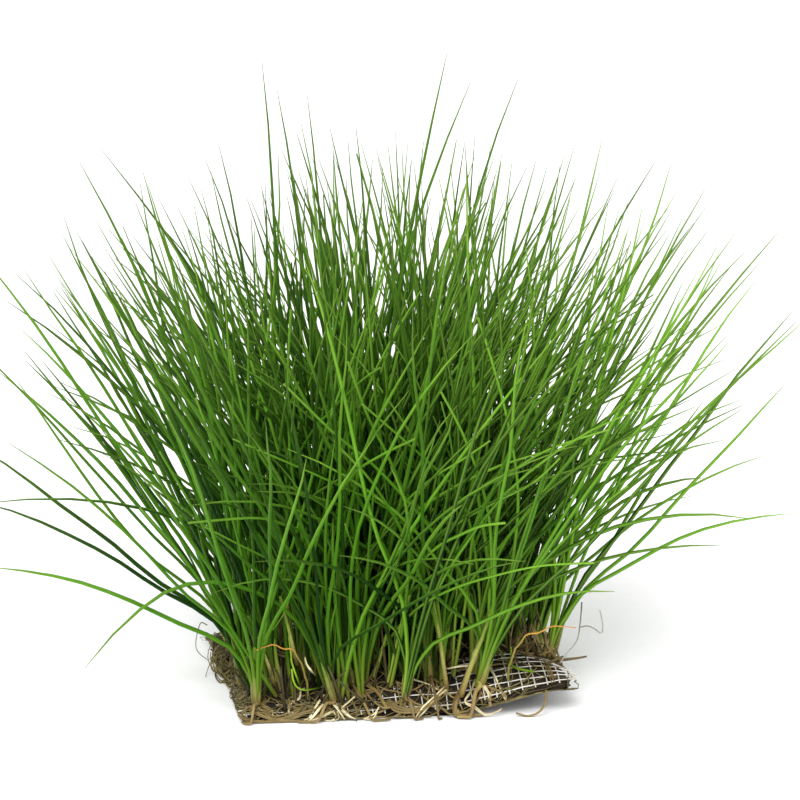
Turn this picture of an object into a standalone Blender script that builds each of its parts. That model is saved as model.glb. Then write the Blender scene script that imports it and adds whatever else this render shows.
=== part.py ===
"""Dwarf hairgrass on a cut square of plastic net.

A flat slab of roots and peat lies on the ground. The net is drawn over it, and one cell of the net in three
holds a tuft: a pale crown that opens into thin, round, pointed blades. Thick roots run from the front crowns
over the edge, and two dead blades have fallen sideways.

Metres, +Z up. The origin is on the slab's flat underside, behind the middle of the front edge, which faces -Y.
"""

import math
import random

import bmesh
import bpy
import numpy as np
from mathutils import Vector

MM = 0.001
GAP = 0.3 * MM  # between pieces that touch
SEED = 11

# The net. The real one has a strand every 3.1 mm, and the solid keeps every second strand.
NET_PITCH = 6.2 * MM
NET_COLUMNS = 14  # strands that run from front to back
NET_ROWS = 12  # strands that run from side to side
STRAND = 0.5 * MM
STUB = 1.5 * MM  # cut end that stands out past the last crossing

# The slab of roots and peat
MAT_WIDTH = (NET_COLUMNS - 1) * NET_PITCH
MAT_DEPTH = (NET_ROWS - 1) * NET_PITCH
BACK_WIDER = 0.12  # the net is pulled this much wider at the back, as a share of its width
BACK_SHIFT = 2.5 * MM  # and this far to the left
MAT_EDGE = 2.6 * MM  # thickness at the rim
MAT_MIDDLE = 8.0 * MM  # thickness in the middle
MAT_RIPPLE = 0.7 * MM
EDGE_BITE = 1.3 * MM  # how far the ragged rim is eaten back at most
CURL = 6.0 * MM  # how far the front right corner stands off the ground
CURL_FROM_X = 6.0 * MM
CURL_FROM_Y = 12.0 * MM

# The tufts
BARE_CELLS = {(12, 0), (10, 1), (11, 2)}  # the front right corner, where the net shows
CROWN_JITTER = 1.1 * MM
CROWN_FOOT = 1.3 * MM
CROWN_NECK = 1.15 * MM
CROWN_DOME = 0.3 * MM
CROWN_HEIGHT = 5.0 * MM
TUFT_LEAN_X = 10.0  # degrees, at the left and right edge
TUFT_LEAN_Y = 12.0  # degrees, at the front and back edge
TUFT_LEAN_NOISE = 7.0

# The blades. Each crown's top is cut like a cake into one sector for each blade.
BLADES_PER_TUFT = 8
SECTOR = math.tau / BLADES_PER_TUFT
SECTOR_FILL = 0.6  # how much of its sector a blade's root takes
SECTOR_DRIFT = 0.25  # how far off its sector's middle a blade may lean, in sectors
BLADE_SIDES = 3
BLADE_RADIUS = 0.5 * MM
BLADE_TAPER = 2.6
BLADE_LENGTH = 126.0 * MM
BLADE_LENGTH_NOISE = 8.0 * MM
EDGE_SHORTER = 31.0 * MM  # blades at the mat's corners are this much shorter
BLADE_SPREAD = (3.0, 26.0)  # degrees away from the tuft's own lean
CROWD_LEAN = 37.0  # degrees that a blade leans at most, unless it is one of the lone blades
CROWD_DEPTH = 200.0 * MM  # from the foremost tip to the rearmost
BLADE_BEND = (0.0, 18.0)  # degrees that the tip leans more than the foot
LEAN_BENDS = 0.1  # a blade that leans bends this much more for each degree
STRETCH_BEND = 23.0  # degrees that one straight stretch stands for
BLADE_CLEARANCE = 1.2 * MM  # between the middle lines of two blades
CROWN_CLEARANCE = 2.2 * MM  # from a blade's middle line to another tuft's crown
TRIES = 200
LONE_DRIFT = 2.0  # degrees that a lone blade may give way to its neighbours

# Blades that stand out of the crowd, chosen by eye: column, row, azimuth (0 right, 90 back, 180 left),
# lean at the foot, lean at the tip, length. Angles are degrees from upright, lengths millimetres.
LONE_BLADES = [
    (0, 0, 184, 40, 82, 76),
    (3, 0, 184, 24, 142, 112),
    (0, 3, 182, 38, 74, 82),
    (0, 3, 176, 42, 56, 88),
    (0, 6, 180, 35, 43, 106),
    (0, 6, 186, 45, 31, 92),
    (1, 4, 182, 28, 33, 114),
    (1, 7, 176, 28, 20, 120),
    (4, 4, 182, 14, 40, 142),
    (0, 9, 170, 15, 6, 122),
    (3, 3, 190, 9, 5, 148),
    (4, 1, 4, 5, 12, 153),
    (3, 6, 2, 9, 21, 148),
    (6, 6, 6, 7, 20, 146),
    (10, 4, 350, 22, 18, 128),
    (12, 3, 10, 33, 44, 104),
    (12, 6, 356, 24, 35, 108),
    (12, 3, 352, 38, 41, 88),
    (12, 6, 340, 26, 72, 82),
    (12, 3, 340, 33, 84, 76),
    (9, 3, 344, 29, 94, 90),
    (6, 0, 338, 40, 84, 62),
    (6, 0, 196, 20, 104, 76),
    (9, 0, 200, 16, 66, 88),
    (12, 9, 20, 30, 50, 96),
    (0, 9, 150, 34, 58, 98),
    (6, 9, 96, 10, 26, 132),
    (1, 10, 110, 20, 38, 108),
    (10, 10, 74, 18, 40, 106),
]

# Roots over the front edge: the crown's column and row, and in mm how far the root drifts to the side
# and its radius
FRONT_ROOTS = [
    (0, 0, -2.2, 0.45),
    (3, 0, -5.5, 0.5),
    (4, 1, 5.0, 0.45),
    (6, 0, 2.4, 0.45),
    (7, 1, 1.0, 0.4),
    (9, 0, -3.6, 0.65),
]
ROOT_SIDES = 5
ROOT_POINTS = 9
ROOT_TAPER = 0.45
ROOT_STAND_OFF = 2.6 * MM  # from the slab's front face to a root's middle line

# Dead blades, each in a net cell of its own: the cell, the point that pulls it over, and the tip, in mm
DEAD_BLADES = {
    "dead_blade_left": ((2, 0), (-25.5, -35.5, 23.0), (-38.0, -38.5, 20.0)),
    "dead_blade_right": ((10, 0), (24.0, -35.0, 24.0), (41.0, -35.0, 22.5)),
}
DEAD_POINTS = 7
DEAD_RADIUS = 0.45 * MM
DEAD_TAPER = 0.7

NET_COLOUR = (0.62, 0.58, 0.50)
PEAT_COLOUR = (0.07, 0.05, 0.03)
LEAF_COLOUR = (0.13, 0.32, 0.03)
ROOT_COLOUR = (0.52, 0.40, 0.20)
DEAD_COLOUR = (0.50, 0.27, 0.06)


def clear_scene():
    for thing in list(bpy.data.objects):
        bpy.data.objects.remove(thing)


def material(name, colour, roughness):
    made = bpy.data.materials.new(name)
    made.use_nodes = True
    shader = made.node_tree.nodes["Principled BSDF"]
    shader.inputs["Base Color"].default_value = (*colour, 1)
    shader.inputs["Roughness"].default_value = roughness
    return made


def add_object(name, mesh, surface, smooth=True):
    made = bpy.data.objects.new(name, mesh)
    mesh.materials.append(surface)
    if smooth:
        mesh.shade_smooth()
        mesh.set_sharp_from_angle(angle=math.radians(50))
    bpy.context.scene.collection.objects.link(made)
    return made


def mesh_of(shape, name):
    mesh = bpy.data.meshes.new(name)
    shape.to_mesh(mesh)
    shape.free()
    return mesh


def ramp(value):
    """0 up to 0, 1 from 1 on, and a smooth rise between."""
    share = min(1.0, max(0.0, value))
    return share * share * (3 - 2 * share)


# Shapes that several pieces share

def ring_corners(centre, side, other, radius, count):
    """Points on a circle, turning anticlockwise from side towards other."""
    turns = [math.tau * k / count for k in range(count)]
    return [centre + (side * math.cos(a) + other * math.sin(a)) * radius for a in turns]


def walls(shape, low, high):
    """Faces from one ring of corners up to the next, or up to a single point."""
    for k in range(len(low)):
        n = (k + 1) % len(low)
        shape.faces.new([low[k], low[n], *([high[n], high[k]] if len(high) > 1 else high)])


# The slab of roots and peat

def mat_lift(x, y):
    """How far the slab's underside stands off the ground: only the front right corner curls up."""
    across = ramp((x - CURL_FROM_X) / (MAT_WIDTH / 2 - CURL_FROM_X))
    forward = ramp((CURL_FROM_Y - y) / (MAT_DEPTH / 2 + CURL_FROM_Y))
    return CURL * across * forward


def mat_top(x, y):
    """Height of the slab's upper side: a low cushion with a few soft ripples."""
    u, v = x / (MAT_WIDTH / 2), y / (MAT_DEPTH / 2)
    cushion = (1 - u**4) * (1 - v**4)
    ripple = math.sin(5.1 * u + 0.8) * math.sin(4.3 * v - 0.5) * min(1.0, 2 * cushion)
    return mat_lift(x, y) + MAT_EDGE + (MAT_MIDDLE - MAT_EDGE) * cushion + MAT_RIPPLE * ripple


def crossing(column, row):
    """The middle of a crossing of two net strands, seen from above."""
    backward = row / (NET_ROWS - 1)
    x = (column * NET_PITCH - MAT_WIDTH / 2) * (1 + BACK_WIDER * backward) - BACK_SHIFT * backward
    return x, row * NET_PITCH - MAT_DEPTH / 2


def rim_bite(column, row):
    """How far a rim point of the slab is eaten back: deeper here, shallower there."""
    return EDGE_BITE * (0.55 + 0.45 * math.sin(2.7 * column + 4.1 * row))


def slab_point(column, row):
    x, y = crossing(column, row)
    bite = rim_bite(column, row)
    inward_x = (column == 0) - (column == NET_COLUMNS - 1)
    inward_y = (row == 0) - (row == NET_ROWS - 1)
    return x + inward_x * bite, y + inward_y * bite


def build_root_mat(surface):
    shape = bmesh.new()
    top, bottom = {}, {}
    for column in range(NET_COLUMNS):
        for row in range(NET_ROWS):
            x, y = crossing(column, row)
            px, py = slab_point(column, row)
            top[column, row] = shape.verts.new((px, py, mat_top(x, y)))
            bottom[column, row] = shape.verts.new((px, py, mat_lift(x, y)))
    for column in range(NET_COLUMNS - 1):
        for row in range(NET_ROWS - 1):
            ring = [(column, row), (column + 1, row), (column + 1, row + 1), (column, row + 1)]
            shape.faces.new([top[key] for key in ring])
            shape.faces.new([bottom[key] for key in reversed(ring)])
    rim = (
        [(column, 0) for column in range(NET_COLUMNS - 1)]
        + [(NET_COLUMNS - 1, row) for row in range(NET_ROWS - 1)]
        + [(column, NET_ROWS - 1) for column in range(NET_COLUMNS - 1, 0, -1)]
        + [(0, row) for row in range(NET_ROWS - 1, 0, -1)]
    )
    for here, there in zip(rim, rim[1:] + rim[:1]):
        shape.faces.new([bottom[here], bottom[there], top[there], top[here]])
    return add_object("root_mat", mesh_of(shape, "root_mat"), surface)


# The net

def net_side(corners, column, row, way):
    """The four corners on one side of a crossing, in the order that the facing side of its neighbour has."""
    across = [(way[0] or s, way[1] or s) for s in (-1, 1)]
    return [corners[column, row, *across[one], level] for one, level in ((0, 0), (1, 0), (1, 1), (0, 1))]


def build_net(surface):
    """Flat pads where strands cross, joined by straight strands, with a cut stub past each end."""
    shape = bmesh.new()
    crossings = [(column, row) for column in range(NET_COLUMNS) for row in range(NET_ROWS)]
    turn = ((-1, -1), (1, -1), (1, 1), (-1, 1))
    corners = {}
    for column, row in crossings:
        x, y = crossing(column, row)
        for level in (0, 1):
            z = mat_top(x, y) + GAP + level * STRAND
            for sx, sy in turn:
                corner = shape.verts.new((x + sx * STRAND / 2, y + sy * STRAND / 2, z))
                corners[column, row, sx, sy, level] = corner
    for column, row in crossings:
        for level in (0, 1):
            shape.faces.new([corners[column, row, sx, sy, level] for sx, sy in turn])
        for way in ((1, 0), (0, 1), (-1, 0), (0, -1)):
            near = net_side(corners, column, row, way)
            beyond = (column + way[0], row + way[1])
            if beyond not in crossings:
                cut = [shape.verts.new(corner.co + Vector((*way, 0)) * STUB) for corner in near]
                walls(shape, near, cut)
                shape.faces.new(cut)
            elif sum(way) > 0:
                walls(shape, near, net_side(corners, *beyond, (-way[0], -way[1])))
    bmesh.ops.recalc_face_normals(shape, faces=shape.faces)
    return add_object("net", mesh_of(shape, "net"), surface, smooth=False)


# Tufts: where they stand and how their blades run

def direction(azimuth, lean):
    """Unit vector that leans away from upright by lean, towards azimuth, both in radians."""
    return Vector((math.sin(lean) * math.cos(azimuth), math.sin(lean) * math.sin(azimuth), math.cos(lean)))


def tuft_cells():
    """One net cell in three, on a slanting lattice."""
    return [
        (column, row)
        for row in range(NET_ROWS - 1)
        for column in range(NET_COLUMNS - 1)
        if (column + 2 * row) % 3 == 0 and (column, row) not in BARE_CELLS
    ]


def plan_tuft(column, row, dice):
    """Where a tuft's crown stands, and the way that the whole tuft leans."""
    x, y = crossing(column + 0.5, row + 0.5)
    x += dice.uniform(-CROWN_JITTER, CROWN_JITTER)
    y += dice.uniform(-CROWN_JITTER, CROWN_JITTER)
    u, v = 2 * x / MAT_WIDTH, 2 * y / MAT_DEPTH
    lean_x = math.radians(TUFT_LEAN_X * u + dice.gauss(0, TUFT_LEAN_NOISE))
    lean_y = math.radians(TUFT_LEAN_Y * v + dice.gauss(0, TUFT_LEAN_NOISE))
    axis = Vector((math.tan(lean_x), math.tan(lean_y), 1)).normalized()
    side = (Vector((1, 0, 0)) - axis * axis.x).normalized()
    around = [direction(SECTOR * k, math.pi / 2) * CROWN_FOOT for k in range(BLADES_PER_TUFT)]
    ground = max(mat_top(x + step.x, y + step.y) for step in around) + GAP
    foot = Vector((x, y, ground))
    return {
        "cell": (column, row),
        "foot": foot,
        "neck": foot + axis * CROWN_HEIGHT,
        "axis": axis,
        "side": side,
        "other": axis.cross(side),
        "turn": dice.uniform(0, SECTOR),
        "reach": BLADE_LENGTH - EDGE_SHORTER * (u * u + v * v) / 2,
        "blades": {},
    }


def outward(tuft, angle):
    """Unit vector in the plane of the crown's top."""
    return tuft["side"] * math.cos(angle) + tuft["other"] * math.sin(angle)


def sector_angle(tuft, sector):
    return tuft["turn"] + SECTOR * sector


def blade_line(tuft, sector, azimuth, foot_lean, tip_lean, length):
    """A blade's foot, knee and tip: it sets off at one lean, and a smooth bend brings it to the other."""
    away = outward(tuft, sector_angle(tuft, sector))
    foot = tuft["neck"] + away * CROWN_NECK * 2 / 3
    knee = foot + direction(azimuth, foot_lean) * length / 2
    tip = knee + direction(azimuth, tip_lean) * length / 2
    count = 2 + int(abs(tip_lean - foot_lean) / math.radians(STRETCH_BEND))
    return {"foot": foot, "knee": knee, "tip": tip, "inward": -away, "stretches": count}


def random_blade(tuft, sector, dice):
    """A blade that leans away from the tuft's own lean, on the side of its sector."""
    spread = math.radians(dice.uniform(*BLADE_SPREAD))
    angle = sector_angle(tuft, sector) + SECTOR * dice.uniform(-SECTOR_DRIFT, SECTOR_DRIFT)
    course = tuft["axis"] * math.cos(spread) + outward(tuft, angle) * math.sin(spread)
    foot_lean = min(math.acos(course.z), math.radians(CROWD_LEAN))
    bend = math.radians(dice.uniform(*BLADE_BEND)) + LEAN_BENDS * foot_lean
    length = tuft["reach"] + dice.gauss(0, BLADE_LENGTH_NOISE)
    return blade_line(tuft, sector, math.atan2(course.y, course.x), foot_lean, foot_lean + bend, length)


def lone_blade(tuft, azimuth, foot_lean, tip_lean, length, dice):
    """A blade of a stated course, in the free sector that faces its way best."""
    azimuth, foot_lean, tip_lean = (
        math.radians(angle + dice.uniform(-LONE_DRIFT, LONE_DRIFT)) for angle in (azimuth, foot_lean, tip_lean)
    )
    course = direction(azimuth, foot_lean)
    free = [sector for sector in range(BLADES_PER_TUFT) if sector not in tuft["blades"]]
    sector = max(free, key=lambda one: course.dot(outward(tuft, sector_angle(tuft, one))))
    return sector, blade_line(tuft, sector, azimuth, foot_lean, tip_lean, length * MM)


def along(blade, share):
    """A point of the blade's middle line, from 0 at the foot to 1 at the tip."""
    rest = 1 - share
    return blade["foot"] * rest * rest + blade["knee"] * 2 * rest * share + blade["tip"] * share * share


def blade_points(blade):
    return [along(blade, k / blade["stretches"]) for k in range(blade["stretches"] + 1)]


def nearest(start, end, starts, ends):
    """The smallest distance from one straight stretch to many others."""
    one, many, between = end - start, ends - starts, start - starts
    one_sq, many_sq = one @ one, (many * many).sum(axis=1)
    across, on_one, on_many = many @ one, between @ one, (many * between).sum(axis=1)
    spread = np.maximum(one_sq * many_sq - across**2, 1e-18)
    s = np.clip((across * on_many - on_one * many_sq) / spread, 0, 1)
    t = np.clip((across * s + on_many) / many_sq, 0, 1)
    s = np.clip((across * t - on_one) / one_sq, 0, 1)
    apart = between + s[:, None] * one - t[:, None] * many
    return np.sqrt((apart**2).sum(axis=1))


class Neighbours:
    """The middle lines of what is already in place, each stretch with the clearance that it asks for."""

    def __init__(self):
        self.starts, self.ends, self.clearances, self.owners = [], [], [], []

    def add(self, points, clearance, owner):
        for start, end in zip(points, points[1:]):
            self.starts.append(start)
            self.ends.append(end)
            self.clearances.append(clearance)
            self.owners.append(owner)

    def leave_room(self, points, owner):
        """Whether a new line keeps clear of all of them. Its first stretch may be close to its own tuft."""
        starts, ends = np.array(self.starts), np.array(self.ends)
        clearances, same = np.array(self.clearances), np.array(self.owners) == owner
        for k, (start, end) in enumerate(zip(points, points[1:])):
            others = ~same if k == 0 else np.full(len(same), True)
            apart = nearest(np.array(start), np.array(end), starts[others], ends[others])
            if (apart < clearances[others]).any():
                return False
        return True


def plan_tufts():
    """All tufts with their blades: the lone blades first, then one at random in each sector that is left."""
    dice = random.Random(SEED)
    tufts = [plan_tuft(column, row, dice) for column, row in tuft_cells()]
    neighbours = Neighbours()
    for index, tuft in enumerate(tufts):
        neighbours.add([tuft["foot"], tuft["neck"]], CROWN_CLEARANCE, index)
    for cell, bend, tip in DEAD_BLADES.values():
        neighbours.add(dead_points(cell, bend, tip), BLADE_CLEARANCE, None)

    def grow(index, propose):
        """Puts the first proposed blade that has room in its sector."""
        for _ in range(TRIES):
            sector, blade = propose()
            points = blade_points(blade)
            if abs(points[-1].y) < CROWD_DEPTH / 2 and neighbours.leave_room(points, index):
                tufts[index]["blades"][sector] = blade
                neighbours.add(points, BLADE_CLEARANCE, index)
                return

    by_cell = {tuft["cell"]: index for index, tuft in enumerate(tufts)}
    for column, row, *course in LONE_BLADES:
        index = by_cell[column, row]
        grow(index, lambda: lone_blade(tufts[index], *course, dice))
    for index, tuft in enumerate(tufts):
        for sector in range(BLADES_PER_TUFT):
            if sector not in tuft["blades"]:
                grow(index, lambda: (sector, random_blade(tuft, sector, dice)))
    return tufts


# Tufts as solids

def blade_radius(share):
    return BLADE_RADIUS * (1 - share**BLADE_TAPER)


def grow_blade(shape, root, blade):
    """Draws a three-sided blade out of a triangle of the crown's top, to a sharp tip."""
    points, inward, low = blade_points(blade), blade["inward"], root
    for k in range(1, len(points) - 1):
        ahead = (points[k + 1] - points[k - 1]).normalized()
        inward = (inward - ahead * inward.dot(ahead)).normalized()
        radius = blade_radius(k / blade["stretches"])
        corners = ring_corners(points[k], inward, ahead.cross(inward), radius, BLADE_SIDES)
        high = [shape.verts.new(corner) for corner in corners]
        walls(shape, low, high)
        low = high
    walls(shape, low, [shape.verts.new(points[-1])])


def build_tuft(number, tuft, surface):
    """A short stalk, flat below, whose top is cut into sectors, with a blade drawn out of each."""
    shape = bmesh.new()
    half_root = SECTOR * SECTOR_FILL / 2
    middle = shape.verts.new(tuft["neck"] + tuft["axis"] * CROWN_DOME)
    feet, roots = [], []
    for sector in range(BLADES_PER_TUFT):
        angle = sector_angle(tuft, sector)
        feet.append(shape.verts.new(tuft["foot"] + direction(angle + SECTOR / 2, math.pi / 2) * CROWN_FOOT))
        edge = [tuft["neck"] + outward(tuft, angle + turn) * CROWN_NECK for turn in (-half_root, half_root)]
        roots.append([middle, *(shape.verts.new(corner) for corner in edge)])
    shape.faces.new(list(reversed(feet)))
    for sector, root in enumerate(roots):
        after = roots[(sector + 1) % BLADES_PER_TUFT]
        shape.faces.new([feet[sector - 1], feet[sector], root[2], root[1]])
        shape.faces.new([feet[sector], after[1], root[2]])
        shape.faces.new([middle, root[2], after[1]])
        if sector in tuft["blades"]:
            grow_blade(shape, root, tuft["blades"][sector])
        else:
            shape.faces.new(root)
    name = f"tuft_{number:02d}"
    return add_object(name, mesh_of(shape, name), surface)


# Roots over the front edge, and dead blades

def front_root_points(tuft, drift, radius):
    """From beside the crown's foot, over the rim, down the front face and along the ground under it."""
    x, rim_y = tuft["foot"].x, -MAT_DEPTH / 2
    start_y = tuft["foot"].y - CROWN_FOOT - GAP - radius
    half_way_y = (start_y + rim_y) / 2
    front_y = rim_y - ROOT_STAND_OFF
    over_net = 2 * GAP + STRAND + radius
    rim_z = mat_top(x, rim_y) + over_net
    ground_z = radius + 0.1 * MM
    # For each point: how much of the drift is done, then y and z
    route = [
        (0.0, start_y, mat_top(x, start_y) + over_net),
        (0.2, half_way_y, mat_top(x, half_way_y) + over_net),
        (0.4, rim_y - 0.3 * ROOT_STAND_OFF, rim_z + 0.3 * MM),
        (0.6, front_y, (rim_z + ground_z) / 2 + 0.4 * MM),
        (0.8, front_y - 0.3 * MM, ground_z + 0.2 * MM),
        (1.2, front_y - 0.1 * MM, ground_z),
        (1.7, front_y + 0.2 * MM, ground_z),
    ]
    corners = [Vector((x + share * drift, y, z)) for share, y, z in route]
    return [smooth_point(corners, k / (ROOT_POINTS - 1)) for k in range(ROOT_POINTS)]


def smooth_point(route, share):
    """A point of the smooth curve (Catmull-Rom) through the route's points."""
    place = share * (len(route) - 1)
    k = min(int(place), len(route) - 2)
    t = place - k
    a, b, c, d = route[max(k - 1, 0)], route[k], route[k + 1], route[min(k + 2, len(route) - 1)]
    return (b * 2 + (c - a) * t + (a * 2 - b * 5 + c * 4 - d) * t**2 + (b * 3 - a - c * 3 + d) * t**3) / 2


def build_tube(name, points, radii, side, surface):
    """A closed tube through the points. side is a direction that none of its stretches runs along."""
    shape = bmesh.new()
    rings = []
    for k, (point, radius) in enumerate(zip(points, radii)):
        ahead = (points[min(k + 1, len(points) - 1)] - points[max(k - 1, 0)]).normalized()
        across = (side - ahead * side.dot(ahead)).normalized()
        corners = ring_corners(point, across, ahead.cross(across), radius, ROOT_SIDES)
        rings.append([shape.verts.new(corner) for corner in corners])
    for low, high in zip(rings, rings[1:]):
        walls(shape, low, high)
    shape.faces.new(list(reversed(rings[0])))
    shape.faces.new(rings[-1])
    return add_object(name, mesh_of(shape, name), surface)


def build_front_root(number, tuft, drift, radius, surface):
    points = front_root_points(tuft, drift * MM, radius * MM)
    radii = [radius * MM * (1 - ROOT_TAPER * k / (ROOT_POINTS - 1)) for k in range(ROOT_POINTS)]
    build_tube(f"front_root_{number}", points, radii, Vector((1, 0, 0)), surface)


def dead_points(cell, bend, tip):
    """The middle line of a dead blade: it stands up out of its cell and is pulled over to the side."""
    x, y = crossing(cell[0] + 0.5, cell[1] + 0.5)
    foot = Vector((x, y, mat_top(x, y) + GAP + DEAD_RADIUS))
    line = {"foot": foot, "knee": Vector(bend) * MM, "tip": Vector(tip) * MM}
    return [along(line, k / (DEAD_POINTS - 1)) for k in range(DEAD_POINTS)]


def build_dead_blade(name, cell, bend, tip, surface):
    points = dead_points(cell, bend, tip)
    radii = [DEAD_RADIUS * (1 - DEAD_TAPER * k / (DEAD_POINTS - 1)) for k in range(DEAD_POINTS)]
    build_tube(name, points, radii, Vector((0, 1, 0)), surface)


def main():
    clear_scene()
    peat = material("peat", PEAT_COLOUR, 0.9)
    plastic = material("net_plastic", NET_COLOUR, 0.5)
    leaf = material("leaf", LEAF_COLOUR, 0.45)
    root = material("root", ROOT_COLOUR, 0.6)
    dead = material("dead_leaf", DEAD_COLOUR, 0.6)
    build_root_mat(peat)
    build_net(plastic)
    tufts = plan_tufts()
    for number, tuft in enumerate(tufts, 1):
        build_tuft(number, tuft, leaf)
    by_cell = {tuft["cell"]: tuft for tuft in tufts}
    for number, (column, row, drift, radius) in enumerate(FRONT_ROOTS, 1):
        build_front_root(number, by_cell[column, row], drift, radius, root)
    for name, (cell, bend, tip) in DEAD_BLADES.items():
        build_dead_blade(name, cell, bend, tip, dead)


main()
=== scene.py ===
# %% [markdown]
# # Dwarf hairgrass on a square of plastic net
#
# Dwarf hairgrass is sold for aquariums as a small mat: a slab of roots and peat under a fine plastic net,
# with a tuft of thin round blades in every few cells of the net. This lesson dresses the solid model of
# such a mat. The solids stay what they are, and each piece made here lies where its solid lies.

import math
import random

import bpy
import numpy as np
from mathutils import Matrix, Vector, noise


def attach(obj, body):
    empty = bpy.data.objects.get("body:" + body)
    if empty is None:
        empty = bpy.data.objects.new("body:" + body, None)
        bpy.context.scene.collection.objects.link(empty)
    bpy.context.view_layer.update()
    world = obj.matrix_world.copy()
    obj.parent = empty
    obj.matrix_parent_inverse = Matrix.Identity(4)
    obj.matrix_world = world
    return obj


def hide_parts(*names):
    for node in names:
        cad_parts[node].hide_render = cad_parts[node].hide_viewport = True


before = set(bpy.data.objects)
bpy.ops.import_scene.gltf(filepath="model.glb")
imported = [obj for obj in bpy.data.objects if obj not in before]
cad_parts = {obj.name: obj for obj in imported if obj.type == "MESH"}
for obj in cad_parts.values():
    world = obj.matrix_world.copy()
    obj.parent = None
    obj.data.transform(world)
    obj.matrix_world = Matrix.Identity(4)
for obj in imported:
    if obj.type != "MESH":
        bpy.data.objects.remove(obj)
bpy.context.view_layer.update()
MM = 0.001

# %% [markdown]
# ## Camera
#
# The mat stands almost at eye level, a little turned. A camera close by would splay the outer blades apart,
# so this one looks from 61 cm away through a long lens, at a point in the middle of the crowd of blades.
# Its place is worked out from two angles and a distance, which are easier to judge than three coordinates.

# %% Place the camera
VIEW_AZIMUTH = math.radians(-5)
VIEW_ELEVATION = math.radians(11)
VIEW_DISTANCE = 0.61
VIEW_TARGET = Vector((0.0005, 0, 0.0735))
LENS_MM = 107.4


def place_camera():
    away = Vector((
        math.sin(VIEW_AZIMUTH) * math.cos(VIEW_ELEVATION),
        -math.cos(VIEW_AZIMUTH) * math.cos(VIEW_ELEVATION),
        math.sin(VIEW_ELEVATION),
    ))
    lens = bpy.data.cameras.new("camera")
    lens.lens = LENS_MM
    lens.clip_start = 0.01
    camera = bpy.data.objects.new("camera", lens)
    camera.location = VIEW_TARGET + away * VIEW_DISTANCE
    camera.rotation_euler = (-away).to_track_quat("-Z", "Y").to_euler()
    bpy.context.scene.collection.objects.link(camera)
    bpy.context.scene.camera = camera
    print("camera at, mm:", [round(c / MM) for c in camera.location])
    return camera


CAMERA = place_camera()

# %% [markdown]
# ## Materials by arithmetic
#
# A material's nodes could be placed and linked one by one, but they are easier to read as sums. A small
# class wraps one socket, so that `1 - mask` or `shade * 0.5` adds the Math nodes by itself, and one method
# adds every other kind of node.

# %% A socket that can be calculated with
class Wire:
    """A value or a colour on its way through a material's nodes."""

    def __init__(self, surface, socket):
        self.surface, self.socket = surface, socket

    def __add__(self, other):
        return self.surface.math("ADD", self, other)

    def __sub__(self, other):
        return self.surface.math("SUBTRACT", self, other)

    def __rsub__(self, other):
        return self.surface.math("SUBTRACT", other, self)

    def __mul__(self, other):
        return self.surface.math("MULTIPLY", self, other)

    __radd__, __rmul__ = __add__, __mul__

# %% A material that adds its own nodes
class Surface:
    """A material. Its node method is the only way that nodes are added."""

    def __init__(self, name, gloss=1.45):
        self.material = bpy.data.materials.new(name)
        self.material.use_nodes = True
        self.tree = self.material.node_tree
        self.shader = self.tree.nodes["Principled BSDF"]
        self.shader.inputs["IOR"].default_value = gloss

    def feed(self, socket, value):
        if isinstance(value, Wire):
            self.tree.links.new(value.socket, socket)
        else:
            socket.default_value = value

    def node(self, kind, settings, inputs, output=0):
        made = self.tree.nodes.new("ShaderNode" + kind)
        for name, value in settings.items():
            if name == "stops":
                set_stops(made.color_ramp, value)
            else:
                setattr(made, name, value)
        for socket, value in inputs.items():
            self.feed(made.inputs[socket], value)
        return Wire(self, made.outputs[output])

    def math(self, operation, one, other):
        return self.node("Math", {"operation": operation}, {0: one, 1: other})

    def mix(self, share, one, other):
        """One colour turning into another."""
        return self.node("Mix", {"data_type": "RGBA"}, {0: share, 6: one, 7: other}, 2)

    def dim(self, colour, light):
        """A colour made darker or lighter by a value."""
        grey = self.node("CombineColor", {}, {0: light, 1: light, 2: light})
        settings = {"data_type": "RGBA", "blend_type": "MULTIPLY"}
        return self.node("Mix", settings, {0: 1.0, 6: colour, 7: grey}, 2)

    def ramp(self, value, stops):
        return self.node("ValToRGB", {"stops": stops}, {0: value})

    def between(self, value, low, high):
        """0 up to low, 1 from high on, and a smooth rise between."""
        return self.node("MapRange", {"interpolation_type": "SMOOTHSTEP"}, {0: value, 1: low, 2: high})

    def read(self, attribute):
        """A value that the piece's own points carry."""
        return self.node("Attribute", {"attribute_name": attribute}, {}, 2)

    def speckle(self, size, detail=2.0, stretch=(1, 1, 1)):
        """Soft noise whose lumps are about size wide, in metres."""
        place = self.node("TexCoord", {}, {}, 3)
        place = self.node("Mapping", {}, {0: place, 3: stretch})
        return self.node("TexNoise", {}, {"Vector": place, "Scale": 1 / size, "Detail": detail})

    def finish(self, colour, roughness, bump=None, height=0.0):
        self.feed(self.shader.inputs["Base Color"], colour)
        self.feed(self.shader.inputs["Roughness"], roughness)
        if bump is not None:
            relief = self.node("Bump", {}, {"Strength": 1.0, "Distance": height, "Height": bump})
            self.feed(self.shader.inputs["Normal"], relief)
        print("material", self.material.name, "with", len(self.tree.nodes), "nodes")
        return self.material


def set_stops(ramp, stops):
    while len(ramp.elements) < len(stops):
        ramp.elements.new(0.5)
    for element, (position, colour) in zip(ramp.elements, stops):
        element.position = position
        element.color = (*colour, 1)

# %% [markdown]
# ## Floor and light
#
# The floor is a pale sheet that curves up behind the mat, so that no horizon shows. A flat plane and a wall
# would leave a line there. A broad soft lamp above the camera's left shoulder models the blades, a weaker
# one fills the right side, and a pale sky keeps the shadows soft.

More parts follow.
